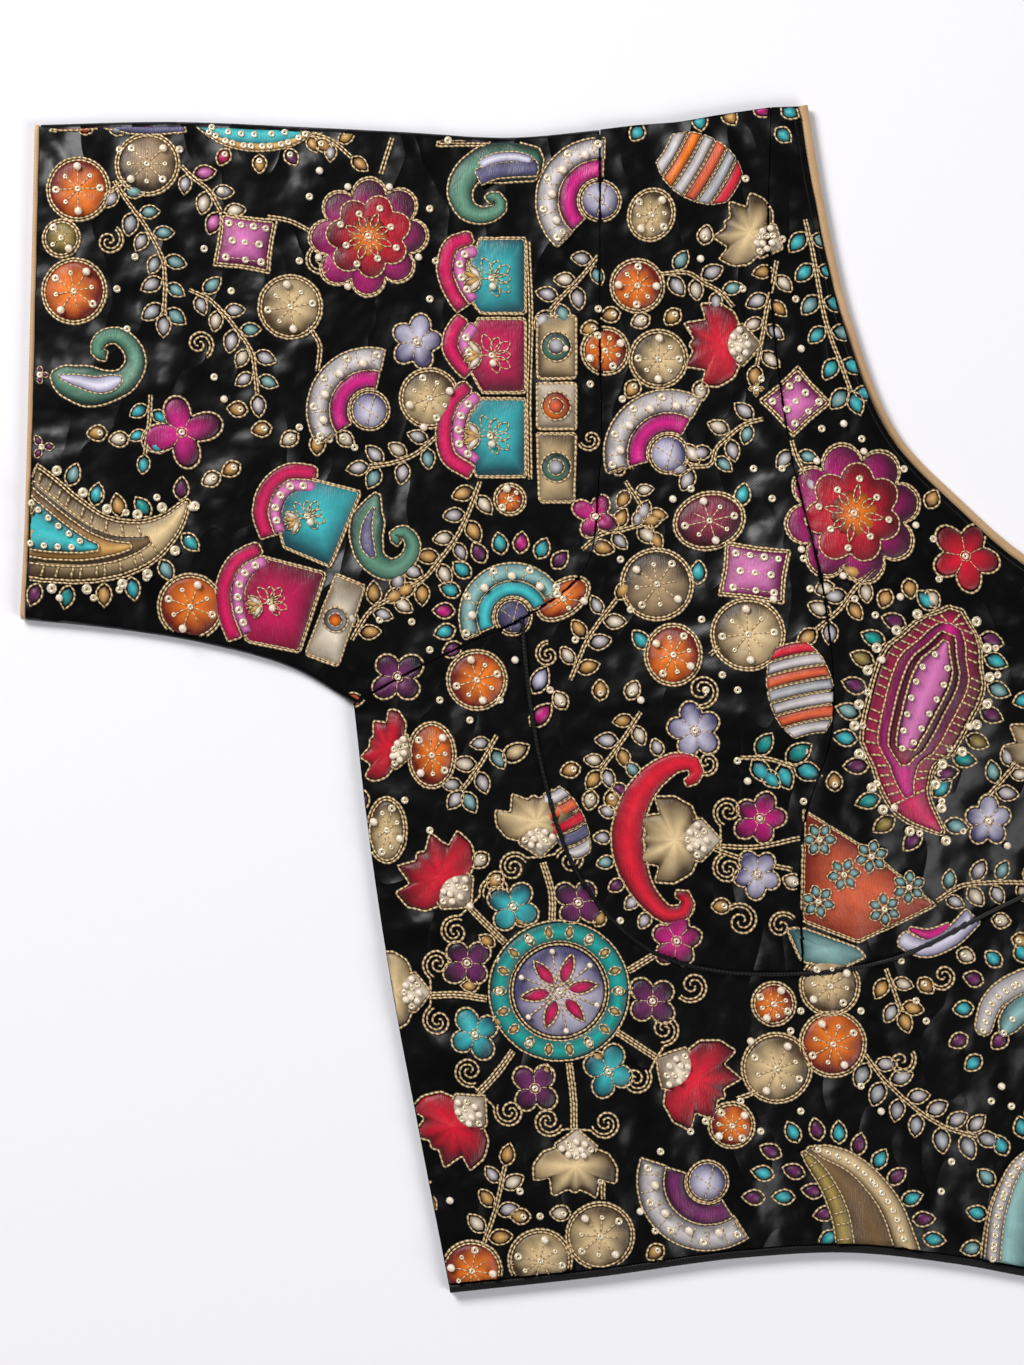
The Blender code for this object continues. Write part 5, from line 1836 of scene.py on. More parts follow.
@dataclass(frozen=True)
class Lotus:
    """A lotus seen from the side: pointed petals that fan from a calyx sewn with pearls."""

    column: float
    row: float
    reach: float
    spread: float
    turn: float
    dye: str
    curled: bool = True

    PETALS = ((0.0, -0.22), (0.16, -0.78), (0.42, -1.0), (0.72, -0.98), (0.64, -0.6), (1.0, -0.52), (0.84, -0.14),
              (0.93, 0.0), (0.84, 0.14), (1.0, 0.52), (0.64, 0.6), (0.72, 0.98), (0.42, 1.0), (0.16, 0.78),
              (0.0, 0.22))

    def draw(self, pen: Pen) -> None:
        """Sews it, with its calyx at the given place and its petals towards its turn."""
        foot = pen.spot(self.column, self.row)
        size = np.array([self.reach, self.spread / 2.0]) * MM
        points = Outline.turned(np.array(self.PETALS) * size, self.turn) + foot
        outline = Curve.spaced(np.vstack([points, points[:1]]), 1.4 * MM)[:-1]
        core = Outline.turned(np.array([[0.4 * self.reach, 0.0]]) * MM, self.turn)[0] + foot
        pen.patch(core + (outline - core) * 0.95, self.dye, 1.4, np.tile(core, (len(outline), 1)), 0.12)
        pen.cord(outline, 1.0, closed=True)
        arc = np.radians(np.linspace(-88.0, 88.0, 14))
        wide = np.column_stack([np.cos(arc) * 0.33 * self.reach, np.sin(arc) * 0.25 * self.spread]) * MM
        bowl = np.vstack([wide, [[-0.3 * self.reach * MM, 0.0]]])
        bowl = Outline.turned(bowl, self.turn) + foot
        pen.patch(foot + (bowl - foot) * 0.95, "ivory", 1.6)
        pen.cord(bowl, 0.95, 0.3, closed=True)
        for number, (out, over) in enumerate(((0.22, 0.0), (0.19, 0.09), (0.19, -0.09), (0.08, 0.17), (0.08, -0.17),
                                              (0.09, 0.06), (0.08, -0.06), (-0.06, 0.0), (-0.02, 0.1),
                                              (-0.02, -0.1))):
            place = Outline.turned(np.array([[out * self.reach, over * self.spread]]) * MM, self.turn)[0] + foot
            bead = pen.pearl if number % 3 else pen.sequin
            bead(place, 0.85, 1.3)
        if self.curled:
            self.tendrils(pen, foot)

    def tendrils(self, pen: Pen, foot: Array) -> None:
        """Sews the two curls that spring from behind the calyx."""
        heel = np.array([-0.28 * self.reach, 0.0])
        for side in (1.0, -1.0):
            eye = np.array([-0.3 * self.reach - 2.0, side * 9.2])
            start = math.degrees(math.atan2(heel[1] - eye[1], heel[0] - eye[0]))
            middle = Outline.turned(eye[None] * MM, self.turn)[0] + foot
            line = Outline.spiral(middle, 5.4, start + self.turn, side * 1.55)
            join = Outline.turned(heel[None] * MM, self.turn) + foot
            pen.cord(np.vstack([join, line[1:]]), 1.0)
            pen.cord(Outline.spiral(middle, 4.4, start + self.turn, side * 0.95), 0.9)


@dataclass(frozen=True)
class Curl:
    """A tendril of doubled cord that winds in on itself."""

    column: float
    row: float
    radius: float
    start: float
    turns: float = 1.4

    def draw(self, pen: Pen) -> None:
        """Sews it."""
        centre = pen.spot(self.column, self.row)
        line = Outline.spiral(centre, 1.2 * self.radius, self.start, self.turns)
        pen.cord(line, 1.0)
        pen.cord(Outline.spiral(centre, 1.2 * self.radius - 0.95, self.start, 0.62 * self.turns), 0.9)


@dataclass(frozen=True)
class Link:
    """A stem of doubled cord between two motifs."""

    pixels: tuple[tuple[float, float], ...]
    apart: float = 0.95

    def draw(self, pen: Pen) -> None:
        """Sews it."""
        line = Curve.spaced(pen.path(*self.pixels), 1.0 * MM)
        pen.double(line, self.apart)
        if self.apart > 1.5:
            pen.cord(line, 1.1)


def leaf(pen: Pen, base: Array, tip: Array, width: float, dye: str, rim: float = 0.8) -> None:
    """Sews one small leaf: cord drawn to a point at both ends round a slip of satin, over a dark gap."""
    pen.cord(Outline.leaf(base, tip, width), rim, closed=True)
    middle = base + (tip - base) * 0.52
    pen.patch(middle + (Outline.leaf(base, tip, width, 5, 0.6) - middle) * 0.76, dye, 0.9)


@dataclass(frozen=True)
class Spray:
    """A leafy stem: leaves in uneven pairs along a doubled cord, and one at its end."""

    pixels: tuple[tuple[float, float], ...]
    dyes: tuple[str, ...]
    pitch: float = 8.2
    size: float = 7.6
    ends: bool = True

    def draw(self, pen: Pen) -> None:
        """Sews it."""
        stem = Curve.spaced(pen.path(*self.pixels), 0.5 * MM)
        pen.double(stem, 0.85)
        reach = 0.5 * len(stem)
        ahead = np.gradient(stem, axis=0)
        ahead = ahead / np.linalg.norm(ahead, axis=1)[:, None]
        number = 0
        for share in np.arange(0.35 * self.pitch, reach - 1.0, self.pitch):
            for way in (-1.0, 1.0):
                here = min(len(stem) - 1, int((share + (1.6 if way > 0 else 0.0)) / 0.5))
                side = Outline.turned(ahead[here][None, :], way * pen.dice.uniform(48.0, 66.0))[0]
                base = stem[here] + side * 0.9 * MM
                size = self.size * pen.dice.uniform(0.88, 1.08)
                leaf(pen, base, base + side * size * MM, 0.64 * size, self.dyes[number % len(self.dyes)])
                number += 1
        if self.ends:
            leaf(pen, stem[-1], stem[-1] + ahead[-1] * self.size * MM, 0.64 * self.size, self.dyes[0])


@dataclass(frozen=True)
class Drops:
    """Leaf-shaped drops set round a motif, each pointing away from the middle that is given."""

    column: float
    row: float
    places: tuple[tuple[float, float], ...]
    dyes: tuple[str, ...]
    size: float = 7.6
    width: float = 5.2
    bead: bool = False

    def draw(self, pen: Pen) -> None:
        """Sews them."""
        middle = pen.spot(self.column, self.row)
        for number, place in enumerate(self.places):
            centre = pen.spot(*place)
            way = (centre - middle) / np.linalg.norm(centre - middle)
            half = way * self.size * MM / 2.0
            leaf(pen, centre - half, centre + half, self.width, self.dyes[number % len(self.dyes)], 0.9)
            if self.bead:
                pen.sequin(centre - half * 0.3, 0.8, 0.9)


@dataclass(frozen=True)
class Fringe:
    """Drops and sequins in turn all along a line, pointing away from it to one side."""

    pixels: tuple[tuple[float, float], ...]
    dyes: tuple[str, ...]
    side: float
    pitch: float = 7.4
    size: float = 6.6

    def draw(self, pen: Pen) -> None:
        """Sews it."""
        line = Curve.spaced(pen.path(*self.pixels), 0.5 * MM)
        ahead = np.gradient(line, axis=0)
        across = np.column_stack([-ahead[:, 1], ahead[:, 0]]) / np.linalg.norm(ahead, axis=1)[:, None] * self.side
        step = int(self.pitch / 0.5)
        for number, here in enumerate(range(step // 2, len(line), step)):
            base = line[here] + across[here] * 1.0 * MM
            dye = self.dyes[number % len(self.dyes)]
            leaf(pen, base, base + across[here] * self.size * MM, 0.66 * self.size, dye)
            beside = min(len(line) - 1, here + step // 2)
            pen.sequin(line[beside] + across[beside] * 2.0 * MM, 0.95)


@dataclass(frozen=True)
class Floret:
    """A tiny flower of satin leaves round a sequin, sewn on the cloth or on a patch."""

    column: float
    row: float
    radius: float
    petals: int
    dye: str
    base: float = 0.0
    turn: float = 0.0

    def draw(self, pen: Pen) -> None:
        """Sews it."""
        centre = pen.spot(self.column, self.row)
        for number in range(self.petals):
            way = Outline.turned(np.array([[self.radius, 0.0]]) * MM, self.turn + 360.0 * number / self.petals)[0]
            loop = Outline.leaf(centre + way * 0.15, centre + way, 0.62 * self.radius)
            pen.cord(loop, 0.6, self.base, closed=True)
            pen.patch(centre + way * 0.58 + (loop - centre - way * 0.58) * 0.72, self.dye, 0.5, base=self.base)
        pen.sequin(centre, 0.8, self.base + 0.3)


@dataclass(frozen=True)
class Wheel:
    """The great wheel: a ring of satin with looped drops round a disc that holds six long petals."""

    column: float
    row: float
    reach: float = 22.4
    inner: float = 15.4

    def draw(self, pen: Pen) -> None:
        """Sews it."""
        centre = pen.spot(self.column, self.row)
        middle, width = (self.reach + self.inner) / 2.0, self.reach - self.inner - 1.0
        for start in (0.0, 180.0):
            angles = np.radians(np.linspace(start, start + 180.0, 30))
            spine = centre + np.column_stack([np.cos(angles), np.sin(angles)]) * middle * MM
            outline, core = Outline.swept(spine, (width,) * 3)
            ends = np.vstack([spine, spine[::-1]])[np.linspace(0, 2 * len(spine) - 1, len(core)).astype(int)]
            pen.patch(outline, "sea", 1.2, ends)
        for radius in (self.reach, self.inner + 0.6, self.inner - 0.5):
            pen.cord(Outline.oval(centre, radius, radius, count=60), 0.95, closed=True)
        pen.patch(Outline.oval(centre, self.inner - 1.2, self.inner - 1.2, count=48), "lavender", 1.4, streak=0.1)
        for number in range(18):
            way = Outline.turned(np.array([[1.0, 0.0]]) * MM, 20.0 * number)[0]
            drop = Outline.leaf(centre + way * (middle - 2.1), centre + way * (middle + 2.3), 2.7)
            pen.patch(centre + way * middle + (drop - centre - way * middle) * 0.7, "ochre", 0.4, base=1.15)
            pen.cord(drop, 0.7, 1.1, closed=True)
            if number % 3 == 0:
                pen.sequin(centre + way * (middle + 0.2), 0.9, 1.3)
        for number in range(6):
            way = Outline.turned(np.array([[1.0, 0.0]]) * MM, 60.0 * number + 10.0)[0]
            loop = Outline.leaf(centre + way * 2.2, centre + way * 12.6, 4.2, 9)
            pen.patch(centre + way * 7.4 + (loop - centre - way * 7.4) * 0.84, "crimson", 0.6, base=1.2)
            pen.cord(loop, 0.85, 1.25, closed=True)
            aside = Outline.turned(np.array([[1.0, 0.0]]) * MM, 60.0 * number + 40.0)[0]
            pen.cord(np.array([centre + aside * 3.0, centre + aside * 12.5]), 0.6, 1.3)
            pen.pearl(centre + aside * 12.8, 0.7, 1.2)
        pen.cord(Outline.oval(centre, 2.0, 2.0), 0.8, 1.4, closed=True)
        pen.sequin(centre, 0.9, 1.4)


@dataclass(frozen=True)
class Ring:
    """A small ring of satin round a heart of another colour, sewn on a patch."""

    column: float
    row: float
    radius: float
    dye: str
    heart: str
    base: float = 1.1

    def draw(self, pen: Pen) -> None:
        """Sews it."""
        centre = pen.spot(self.column, self.row)
        pen.patch(Outline.oval(centre, self.radius - 0.4, self.radius - 0.4, count=24), self.dye, 0.5, base=self.base)
        pen.cord(Outline.oval(centre, self.radius, self.radius, count=24), 0.75, self.base, closed=True)
        small = 0.5 * self.radius
        pen.patch(Outline.oval(centre, small, small, count=16), self.heart, 0.5, base=self.base + 0.5)
        pen.cord(Outline.oval(centre, small + 0.2, small + 0.2, count=20), 0.6, self.base + 0.4, closed=True)


@dataclass(frozen=True)
class Arch:
    """The scalloped edge of an arched panel: a crimson border and a pink one with sequins inside it."""

    pixels: tuple[tuple[float, float], ...]
    side: float

    def draw(self, pen: Pen) -> None:
        """Sews it."""
        line = Curve.spaced(pen.path(*self.pixels), 1.5 * MM)
        ahead = np.gradient(line, axis=0)
        across = np.column_stack([-ahead[:, 1], ahead[:, 0]]) / np.linalg.norm(ahead, axis=1)[:, None] * self.side
        for offset, widths, dye in ((2.4, (3.0, 5.2, 5.4, 5.2, 3.0), "crimson"), (6.9, (2.0, 4.4, 4.6, 4.4, 2.0), "pink")):
            middle = line + across * offset * MM
            outline, core = Outline.swept(middle, widths, 24)
            pen.patch(core + (outline - core) * 0.9, dye, 1.1, core)
            pen.cord(outline, 0.9, closed=True)
        for spot in Curve.spaced(line + across * 6.9 * MM, 4.4 * MM)[1:-1]:
            pen.sequin(spot, 1.05, 0.9)


# The embroidery of one half: where each motif is in the photograph, in pixels, with its sizes in mm

MEDALLIONS = (
    Medallion(79, 190, 10.2, 10.2, "orange"), Medallion(148, 165, 10.2, 10.2, "brown"),
    Medallion(62, 239, 6.1, 6.1, "olive", beads=2, spokes=4), Medallion(75, 292, 10.5, 10.5, "orange"),
    Medallion(291, 308, 10.2, 10.2, "beige"), Medallion(430, 399, 9.6, 9.6, "beige"),
    Medallion(191, 607, 10.5, 10.5, "orange"), Medallion(510, 500, 5.1, 5.1, "orange", beads=2, spokes=6),
    Medallion(605, 352, 7.7, 7.7, "orange"), Medallion(658, 360, 9.3, 9.3, "beige"),
    Medallion(637, 287, 8.6, 8.6, "orange"), Medallion(651, 216, 7.4, 8.6, "beige", -20),
    Medallion(708, 522, 11.4, 9.2, "wine", 15), Medallion(656, 585, 11.5, 11.5, "brown"),
    Medallion(745, 635, 11.5, 11.5, "beige"), Medallion(672, 655, 9.0, 9.9, "orange"),
    Medallion(477, 680, 9.6, 9.6, "orange"), Medallion(432, 755, 7.7, 10.6, "orange"),
    Medallion(387, 830, 6.4, 10.6, "beige"), Medallion(773, 1003, 7.0, 7.0, "orange"),
    Medallion(829, 985, 9.6, 9.6, "beige"), Medallion(832, 1043, 10.6, 10.6, "orange"),
    Medallion(776, 1067, 11.2, 11.2, "beige"), Medallion(731, 1124, 7.4, 7.4, "orange"),
    Medallion(472, 1270, 9.6, 9.6, "orange"), Medallion(540, 1260, 10.2, 10.2, "beige"),
    Medallion(600, 1235, 10.9, 10.9, "beige"), Medallion(563, 599, 9.6, 5.6, "orange", 35, 2, 6),
)

SQUARES = (
    Square(246, 244, 9.0, 8.6, "pink", -8), Square(794, 403, 8.3, 7.9, "pink", 42),
    Square(752, 574, 10.2, 8.6, "pink", -8), Square(465, 131, 9.0, 5.0, "magenta"),
)

BLOOMS = (Bloom(369, 238, 19.2), Bloom(850, 515, 22.5, 12.0))

FLOWERS = (
    Flower(183, 433, 12.6, 4, "magenta", 14, 0.56, 1.15), Flower(595, 517, 7.8, 4, "magenta", 62, 0.5, 1.1),
    Flower(417, 343, 8.8, 5, "lavender", 5, 0.36, 1.0), Flower(693, 730, 9.0, 5, "lavender", 30),
    Flower(757, 817, 8.6, 5, "magenta", 0), Flower(755, 873, 8.0, 5, "lavender", 50),
    Flower(676, 940, 8.6, 5, "magenta", 12), Flower(985, 820, 8.0, 5, "lavender", 18),
    Flower(398, 677, 9.0, 4, "plum", 40, 0.48), Flower(467, 962, 8.4, 4, "plum", 40, 0.48),
    Flower(535, 1087, 8.4, 4, "plum", 50, 0.48), Flower(652, 1000, 8.4, 4, "plum", 42, 0.48),
    Flower(578, 902, 8.2, 4, "plum", 55, 0.48), Flower(513, 906, 8.6, 4, "teal", 60, 0.48),
    Flower(475, 1033, 8.6, 4, "teal", 30, 0.48), Flower(608, 1070, 8.6, 4, "teal", 70, 0.48),
    Flower(962, 557, 11.6, 5, "red", 62, 0.42, 1.0),
)

FANS = (
    Fan(600, 202, 85, 228, ball=6.7, middle=13.4, reach=20.5), Fan(370, 411, 75, 215, ball=6.4, middle=12.8, reach=20.0),
    Fan(668, 455, 58, 198, ball=6.4, middle=13.2, reach=20.6),
    Fan(707, 1180, 160, 306, "plum", 6.7, 14.0, 22.5),
    Fan(513, 617, 20, 206, "teal", 6.0, 11.6, 17.2, "mist", "slate"),
)

STRIPED = (
    Stripes(699, 169, 13.2, 10.6, -30, ("silver", "orange", "silver", "rust", "grey", "red")),
    Stripes(796, 690, 14.8, 10.2, 102, ("silver", "rust", "silver", "grey", "rust", "silver", "red")),
    Stripes(567, 822, 11.8, 5.6, -65, ("silver", "rust", "red", "slate", "silver")),
)

LOTUSES = (
    Lotus(768, 243, 17, 24, 155, "beige", False), Lotus(743, 346, 19, 27, 180, "red", False), Lotus(701, 839, 21, 28, 180, "beige"),
    Lotus(539, 842, 16.5, 26, 97, "beige"), Lotus(458, 893, 20, 29, 135, "red"), Lotus(416, 992, 17, 26, 180, "beige"),
    Lotus(472, 1108, 20, 28, 225, "red"), Lotus(576, 1143, 17, 27, 268, "beige"), Lotus(672, 1066, 21, 30, 330, "red"),
    Lotus(402, 752, 12, 24, 160, "red", False), Lotus(1072, 1108, 19, 26, 60, "red"), Lotus(1050, 760, 17, 25, 120, "beige"),
)

# Hooked and plain paisleys, crescents and borders, each under what is sewn on it
BANDS = (
    Band(((52, 374), (76, 384), (104, 388), (128, 380), (137, 362), (130, 345), (115, 336), (101, 342), (99, 354),
          (108, 357)), (2.0, 10.5, 13.0, 10.5, 8.0, 6.8, 6.0, 5.2, 4.6, 3.4), "green", 1.5),
    Band(((60, 377), (80, 382), (103, 386), (124, 380)), (1.0, 4.2, 5.6, 2.0), "lavender", 0.7, 1.4, 0.7),
    Band(((543, 166), (520, 163), (493, 163), (468, 174), (460, 194), (468, 212), (488, 216), (501, 207), (494, 197),
          (487, 202)), (4.0, 12.5, 14.0, 12.0, 9.0, 8.0, 6.6, 5.2, 4.2, 3.0), "green", 1.5),
    Band(((538, 169), (516, 170), (494, 172), (478, 179)), (2.0, 5.6, 5.6, 2.0), "slate", 0.7, 1.4, 0.7),
    Band(((532, 162), (514, 158), (494, 160), (480, 166)), (1.6, 3.4, 3.4, 1.6), "lavender", 0.6, 1.5, 0.7),
    Band(((378, 494), (370, 515), (367, 540), (375, 562), (391, 570), (408, 560), (413, 543), (403, 532), (394, 538),
          (400, 544)), (2.0, 7.5, 11.0, 10.0, 8.0, 6.8, 5.4, 4.8, 4.0, 2.6), "green", 1.4),
    Band(((374, 508), (368, 525), (368, 545), (374, 558)), (1.0, 3.0, 4.4, 2.0), "slate", 0.6, 1.3, 0.7),
    # the crescent by the sleeve's opening
    Paisley(((14, 518), (60, 538), (92, 547), (122, 548), (150, 540), (172, 524), (188, 503)),
            (36.0, 31.0, 25.0, 19.0, 14.0, 7.6, 1.2),
            ((0.0, "beige"), (4.6, "umber"), (6.6, "ochre"), (9.0, "teal")),
            ("teal", "plum", "sea", "ochre", "teal", "mist"), 4.4, 10.5, 7.8),
    # the magenta paisley beside the centre front
    Paisley(((951, 611), (944, 632), (930, 668), (912, 712), (899, 755), (905, 796), (938, 831)),
            (4.0, 26.0, 34.0, 31.0, 19.0, 11.0, 1.2),
            ((0.0, "crimson"), (4.8, "magenta"), (8.2, "wine"), (10.8, "pink")),
            ("teal", "plum", "sea", "olive", "plum", "mist")),
    # the olive and beige paisley over the hem
    # the olive and beige paisley over the hem
    Band(((806, 1148), (840, 1178), (866, 1214), (880, 1262)), (3.0, 12.0, 17.0, 20.0), "umber", 1.0),
    Band(((802, 1150), (822, 1176), (838, 1210), (847, 1258)), (1.6, 4.8, 5.6, 5.8), "olive", 0.6, 0.9, 0.8, dashes=4.0),
    Band(((812, 1146), (850, 1161), (884, 1196), (910, 1258)), (1.6, 6.0, 7.0, 7.6), "beige", 0.7, 0.9, 0.9, beads=3.2),
    # the blue-grey paisley over the hem
    Band(((1052, 1140), (1028, 1166), (1012, 1204), (1006, 1270)), (1.4, 11.0, 15.0, 17.0), "mist", 1.2),
    Band(((1046, 1142), (1016, 1164), (999, 1202), (991, 1268)), (1.2, 4.2, 4.8, 5.0), "silver", 0.6, 0.9, 0.8,
         beads=2.8),
    # the beaded crescent beside the centre front
    Band(((1000, 1034), (1018, 1010), (1048, 1002), (1080, 1012)), (2.0, 9.0, 11.0, 4.0), "mist", 1.2, beads=5.0),
    Band(((980, 1034), (992, 1000), (1018, 982), (1052, 976), (1088, 990)), (2.4, 6.6, 7.4, 7.4, 3.0), "silver", 1.2,
         beads=3.0),
    # the red crescent with its curled ends
    Band(((684, 783), (694, 777), (694, 765), (680, 761), (660, 770), (638, 795), (627, 835), (633, 870), (650, 900),
          (668, 914), (684, 910), (686, 896), (675, 893)),
         (2.4, 5.0, 6.4, 8.0, 9.0, 10.0, 10.5, 10.0, 8.5, 7.0, 6.0, 5.0, 2.4), "red", 1.2),
    # the lavender boat
    Band(((898, 937), (922, 947), (948, 938), (972, 915)), (1.6, 6.0, 6.4, 1.6), "lavender", 1.2),
    Band(((908, 928), (928, 934), (948, 924)), (1.4, 3.6, 1.4), "magenta", 1.0),
)

ARCHES = (
    Arch(((470, 231), (447, 241), (438, 268), (446, 297), (457, 314)), 1.0),
    Arch(((457, 314), (445, 334), (444, 352), (453, 368), (464, 380)), 1.0),
    Arch(((464, 380), (446, 398), (437, 430), (443, 462), (468, 480)), 1.0),
    Arch(((318, 466), (285, 466), (262, 486), (254, 514), (261, 540)), 1.0),
    Arch(((258, 541), (233, 555), (219, 580), (218, 612), (228, 642)), 1.0),
)

# The half medallion at the sleeve's top fold, and the slivers beside it
TOP_EDGE = (
    Band(((196, 121), (222, 131), (258, 135), (294, 131), (322, 121)), (3.0, 6.4, 7.4, 6.4, 3.0), "teal", 1.2, beads=4.6),
    Band(((206, 131), (230, 143), (258, 147), (288, 143), (312, 131)), (1.4, 2.8, 3.0, 2.8, 1.4), "ochre", 1.0, beads=2.8),
    Band(((44, 126), (70, 124), (100, 125)), (2.0, 4.2, 2.0), "rust", 1.0),
    Band(((104, 126), (140, 128), (186, 129)), (1.4, 4.4, 2.0), "slate", 1.0),
    Band(((340, 127), (350, 129), (362, 128)), (1.4, 4.0, 1.6), "crimson", 1.0),
    Band(((438, 127), (464, 131), (491, 128)), (3.6, 5.4, 3.6), "magenta", 1.0, beads=4.0),
)

CELLS = (
    Cell(((480, 239), (526, 239), (526, 315), (480, 315), (470, 300), (466, 272)), "teal", 7.4),
    Cell(((478, 319), (526, 319), (526, 394), (482, 394), (470, 372), (468, 340)), "crimson", 7.4),
    Cell(((480, 399), (526, 399), (526, 478), (476, 478), (466, 450), (468, 418)), "teal", 7.4),
    Cell(((537, 317), (576, 317), (576, 380), (537, 380)), "beige"),
    Cell(((537, 384), (576, 384), (576, 430), (537, 430)), "ivory"),
    Cell(((537, 434), (576, 434), (574, 503), (539, 503)), "beige"),
    Cell(((308, 478), (362, 492), (331, 568), (284, 548), (277, 520), (284, 496)), "teal", 6.2, 20),
    Cell(((262, 556), (327, 573), (300, 653), (246, 642), (240, 610), (246, 580)), "crimson", 6.2, 15),
    Cell(((337, 574), (366, 586), (338, 667), (305, 655)), "ivory"),
    Cell(((800, 808), (868, 850), (935, 905), (857, 942), (800, 920)), "rust"),
    Cell(((785, 928), (800, 926), (857, 947), (866, 956), (840, 969), (800, 961)), "mist"),
)

RINGS = (
    Ring(556, 348, 4.8, "green", "grey"), Ring(556, 407, 4.6, "orange", "rust"), Ring(556, 468, 4.8, "green", "grey"),
    Ring(336, 620, 4.0, "grey", "orange"), Ring(28, 507, 2.6, "ivory", "plum", 2.1),
)

FLORETS = (
    *(Floret(column, row, 5.7, 6, "mist", 1.1, 9.0 * number) for number, (column, row) in enumerate(
        ((816, 838), (841, 873), (868, 855), (906, 886), (882, 908), (816, 900)))),
    Floret(755, 390, 2.6, 4, "ochre"), Floret(40, 375, 3.0, 4, "plum"), Floret(42, 447, 4.2, 3, "plum"),
)

PALE = ("silver", "mist", "ivory", "silver")
WARM = ("ochre", "ivory", "silver")
COOL = ("silver", "mist", "grey", "mist")

SPRAYS = (
    Spray(((115, 182), (130, 205), (143, 222), (155, 242), (164, 262), (166, 285), (165, 315)), COOL),
    Spray(((190, 291), (208, 299), (225, 315), (240, 334), (252, 352), (256, 375), (258, 395)), PALE),
    Spray(((182, 167), (195, 180), (208, 190), (222, 213)), ("silver", "pink", "ivory"), ends=False),
    Spray(((600, 255), (575, 285), (560, 300), (550, 312)), PALE),
    Spray(((660, 275), (690, 275), (705, 285), (718, 292), (733, 308)), PALE, ends=False),
    Spray(((776, 262), (772, 285), (766, 310), (762, 335), (756, 366)), WARM),
    Spray(((805, 220), (812, 250), (818, 285), (826, 325), (840, 365), (850, 392)), ("teal", "mist", "teal"), 10.4, 8.4),
    Spray(((437, 437), (415, 455), (395, 463), (370, 467)), PALE),
    Spray(((480, 482), (470, 510), (455, 540), (440, 560), (425, 578), (405, 590)), WARM),
    Spray(((762, 420), (745, 425), (725, 440), (715, 450), (710, 465), (690, 468)), PALE),
    Spray(((582, 550), (600, 535), (625, 530), (640, 525)), WARM),
    Spray(((790, 442), (795, 460), (803, 476)), PALE),
    Spray(((870, 570), (850, 590), (835, 610), (812, 630)), WARM, 8.6, 8.2),
    Spray(((570, 680), (590, 635), (616, 600)), WARM, 9.0),
    Spray(((738, 757), (765, 758), (790, 766)), ("teal", "sea"), 9.0, 9.6),
    Spray(((935, 900), (960, 885), (990, 882), (1030, 882)), PALE),
    Spray(((864, 1053), (880, 1075), (900, 1095), (925, 1115), (950, 1128), (975, 1135)), ("grey", "silver"), 7.6, 8.2),
    Spray(((885, 968), (893, 990), (900, 1010)), WARM),
    Spray(((483, 1245), (495, 1210), (505, 1165)), WARM),
    Spray(((152, 396), (150, 425), (146, 455)), ("teal",), 8.8, 6.6),
    Spray(((985, 795), (1000, 778), (1014, 762)), PALE, 7.0),
    Spray(((640, 712), (622, 740), (600, 770)), WARM), Spray(((497, 735), (480, 765), (462, 790)), PALE),
    Spray(((625, 482), (640, 505), (652, 532)), WARM, 7.6, 6.6), Spray(((352, 640), (372, 610), (396, 596)), WARM),
    Spray(((300, 132), (330, 140), (352, 158)), WARM, 8.0, 6.8),
    Spray(((430, 1180), (418, 1205), (420, 1235)), ("rust", "ochre"), 8.0),
    Spray(((1040, 640), (1050, 680), (1048, 720)), WARM), Spray(((1040, 760), (1062, 790), (1068, 830)), PALE),
    Spray(((1030, 882), (1060, 876), (1088, 892)), PALE), Spray(((1080, 930), (1064, 960), (1058, 990)), WARM),
)

LINKS = (
    Link(((395, 130), (388, 152), (381, 175))), Link(((428, 995), (458, 994), (487, 998)), 1.7),
    Link(((478, 1093), (497, 1072), (513, 1050)), 1.7), Link(((569, 1062), (573, 1095), (574, 1130)), 1.7),
    Link(((615, 1030), (640, 1046), (664, 1062)), 1.7), Link(((628, 970), (648, 958), (664, 948)), 1.7),
    Link(((552, 921), (552, 895), (543, 862)), 1.7), Link(((463, 900), (485, 922), (505, 942)), 1.7),
    Link(((700, 843), (750, 846), (800, 836))), Link(((700, 843), (742, 858), (790, 868))),
    Link(((528, 243), (531, 320), (529, 400), (530, 480))), Link(((98, 205), (115, 190), (128, 180))),
    Link(((268, 218), (290, 222), (310, 232))), Link(((310, 328), (320, 345), (318, 372))),
    Link(((586, 1138), (600, 1160), (603, 1198))), Link(((736, 1098), (752, 1092), (764, 1084))),
    Link(((802, 1056), (810, 1050), (818, 1046))), Link(((508, 1262), (516, 1262), (522, 1261))),
    Link(((566, 1254), (574, 1248), (582, 1243))), Link(((708, 655), (716, 648), (722, 642))),
)

CURLS = (
    Curl(700, 690, 5.0, 250, 1.5), Curl(740, 920, 5.2, 150, -1.5), Curl(780, 925, 4.2, 30, 1.3),
    Curl(692, 985, 4.8, 220, 1.4), Curl(705, 762, 3.6, 250, 1.2), Curl(683, 908, 3.6, 120, -1.2),
    Curl(620, 470, 3.4, 0, 1.3), Curl(548, 655, 3.8, 90, 1.4), Curl(660, 1275, 4.6, 60, 1.4),
    Curl(700, 1275, 4.0, 120, -1.3), Curl(322, 262, 4.4, 130, 1.4), Curl(110, 242, 4.2, 60, -1.4),
    Curl(200, 345, 4.2, 300, 1.4), Curl(590, 440, 3.4, 200, 1.2), Curl(900, 1060, 4.2, 40, -1.3),
    Curl(942, 975, 4.0, 220, 1.3),
)

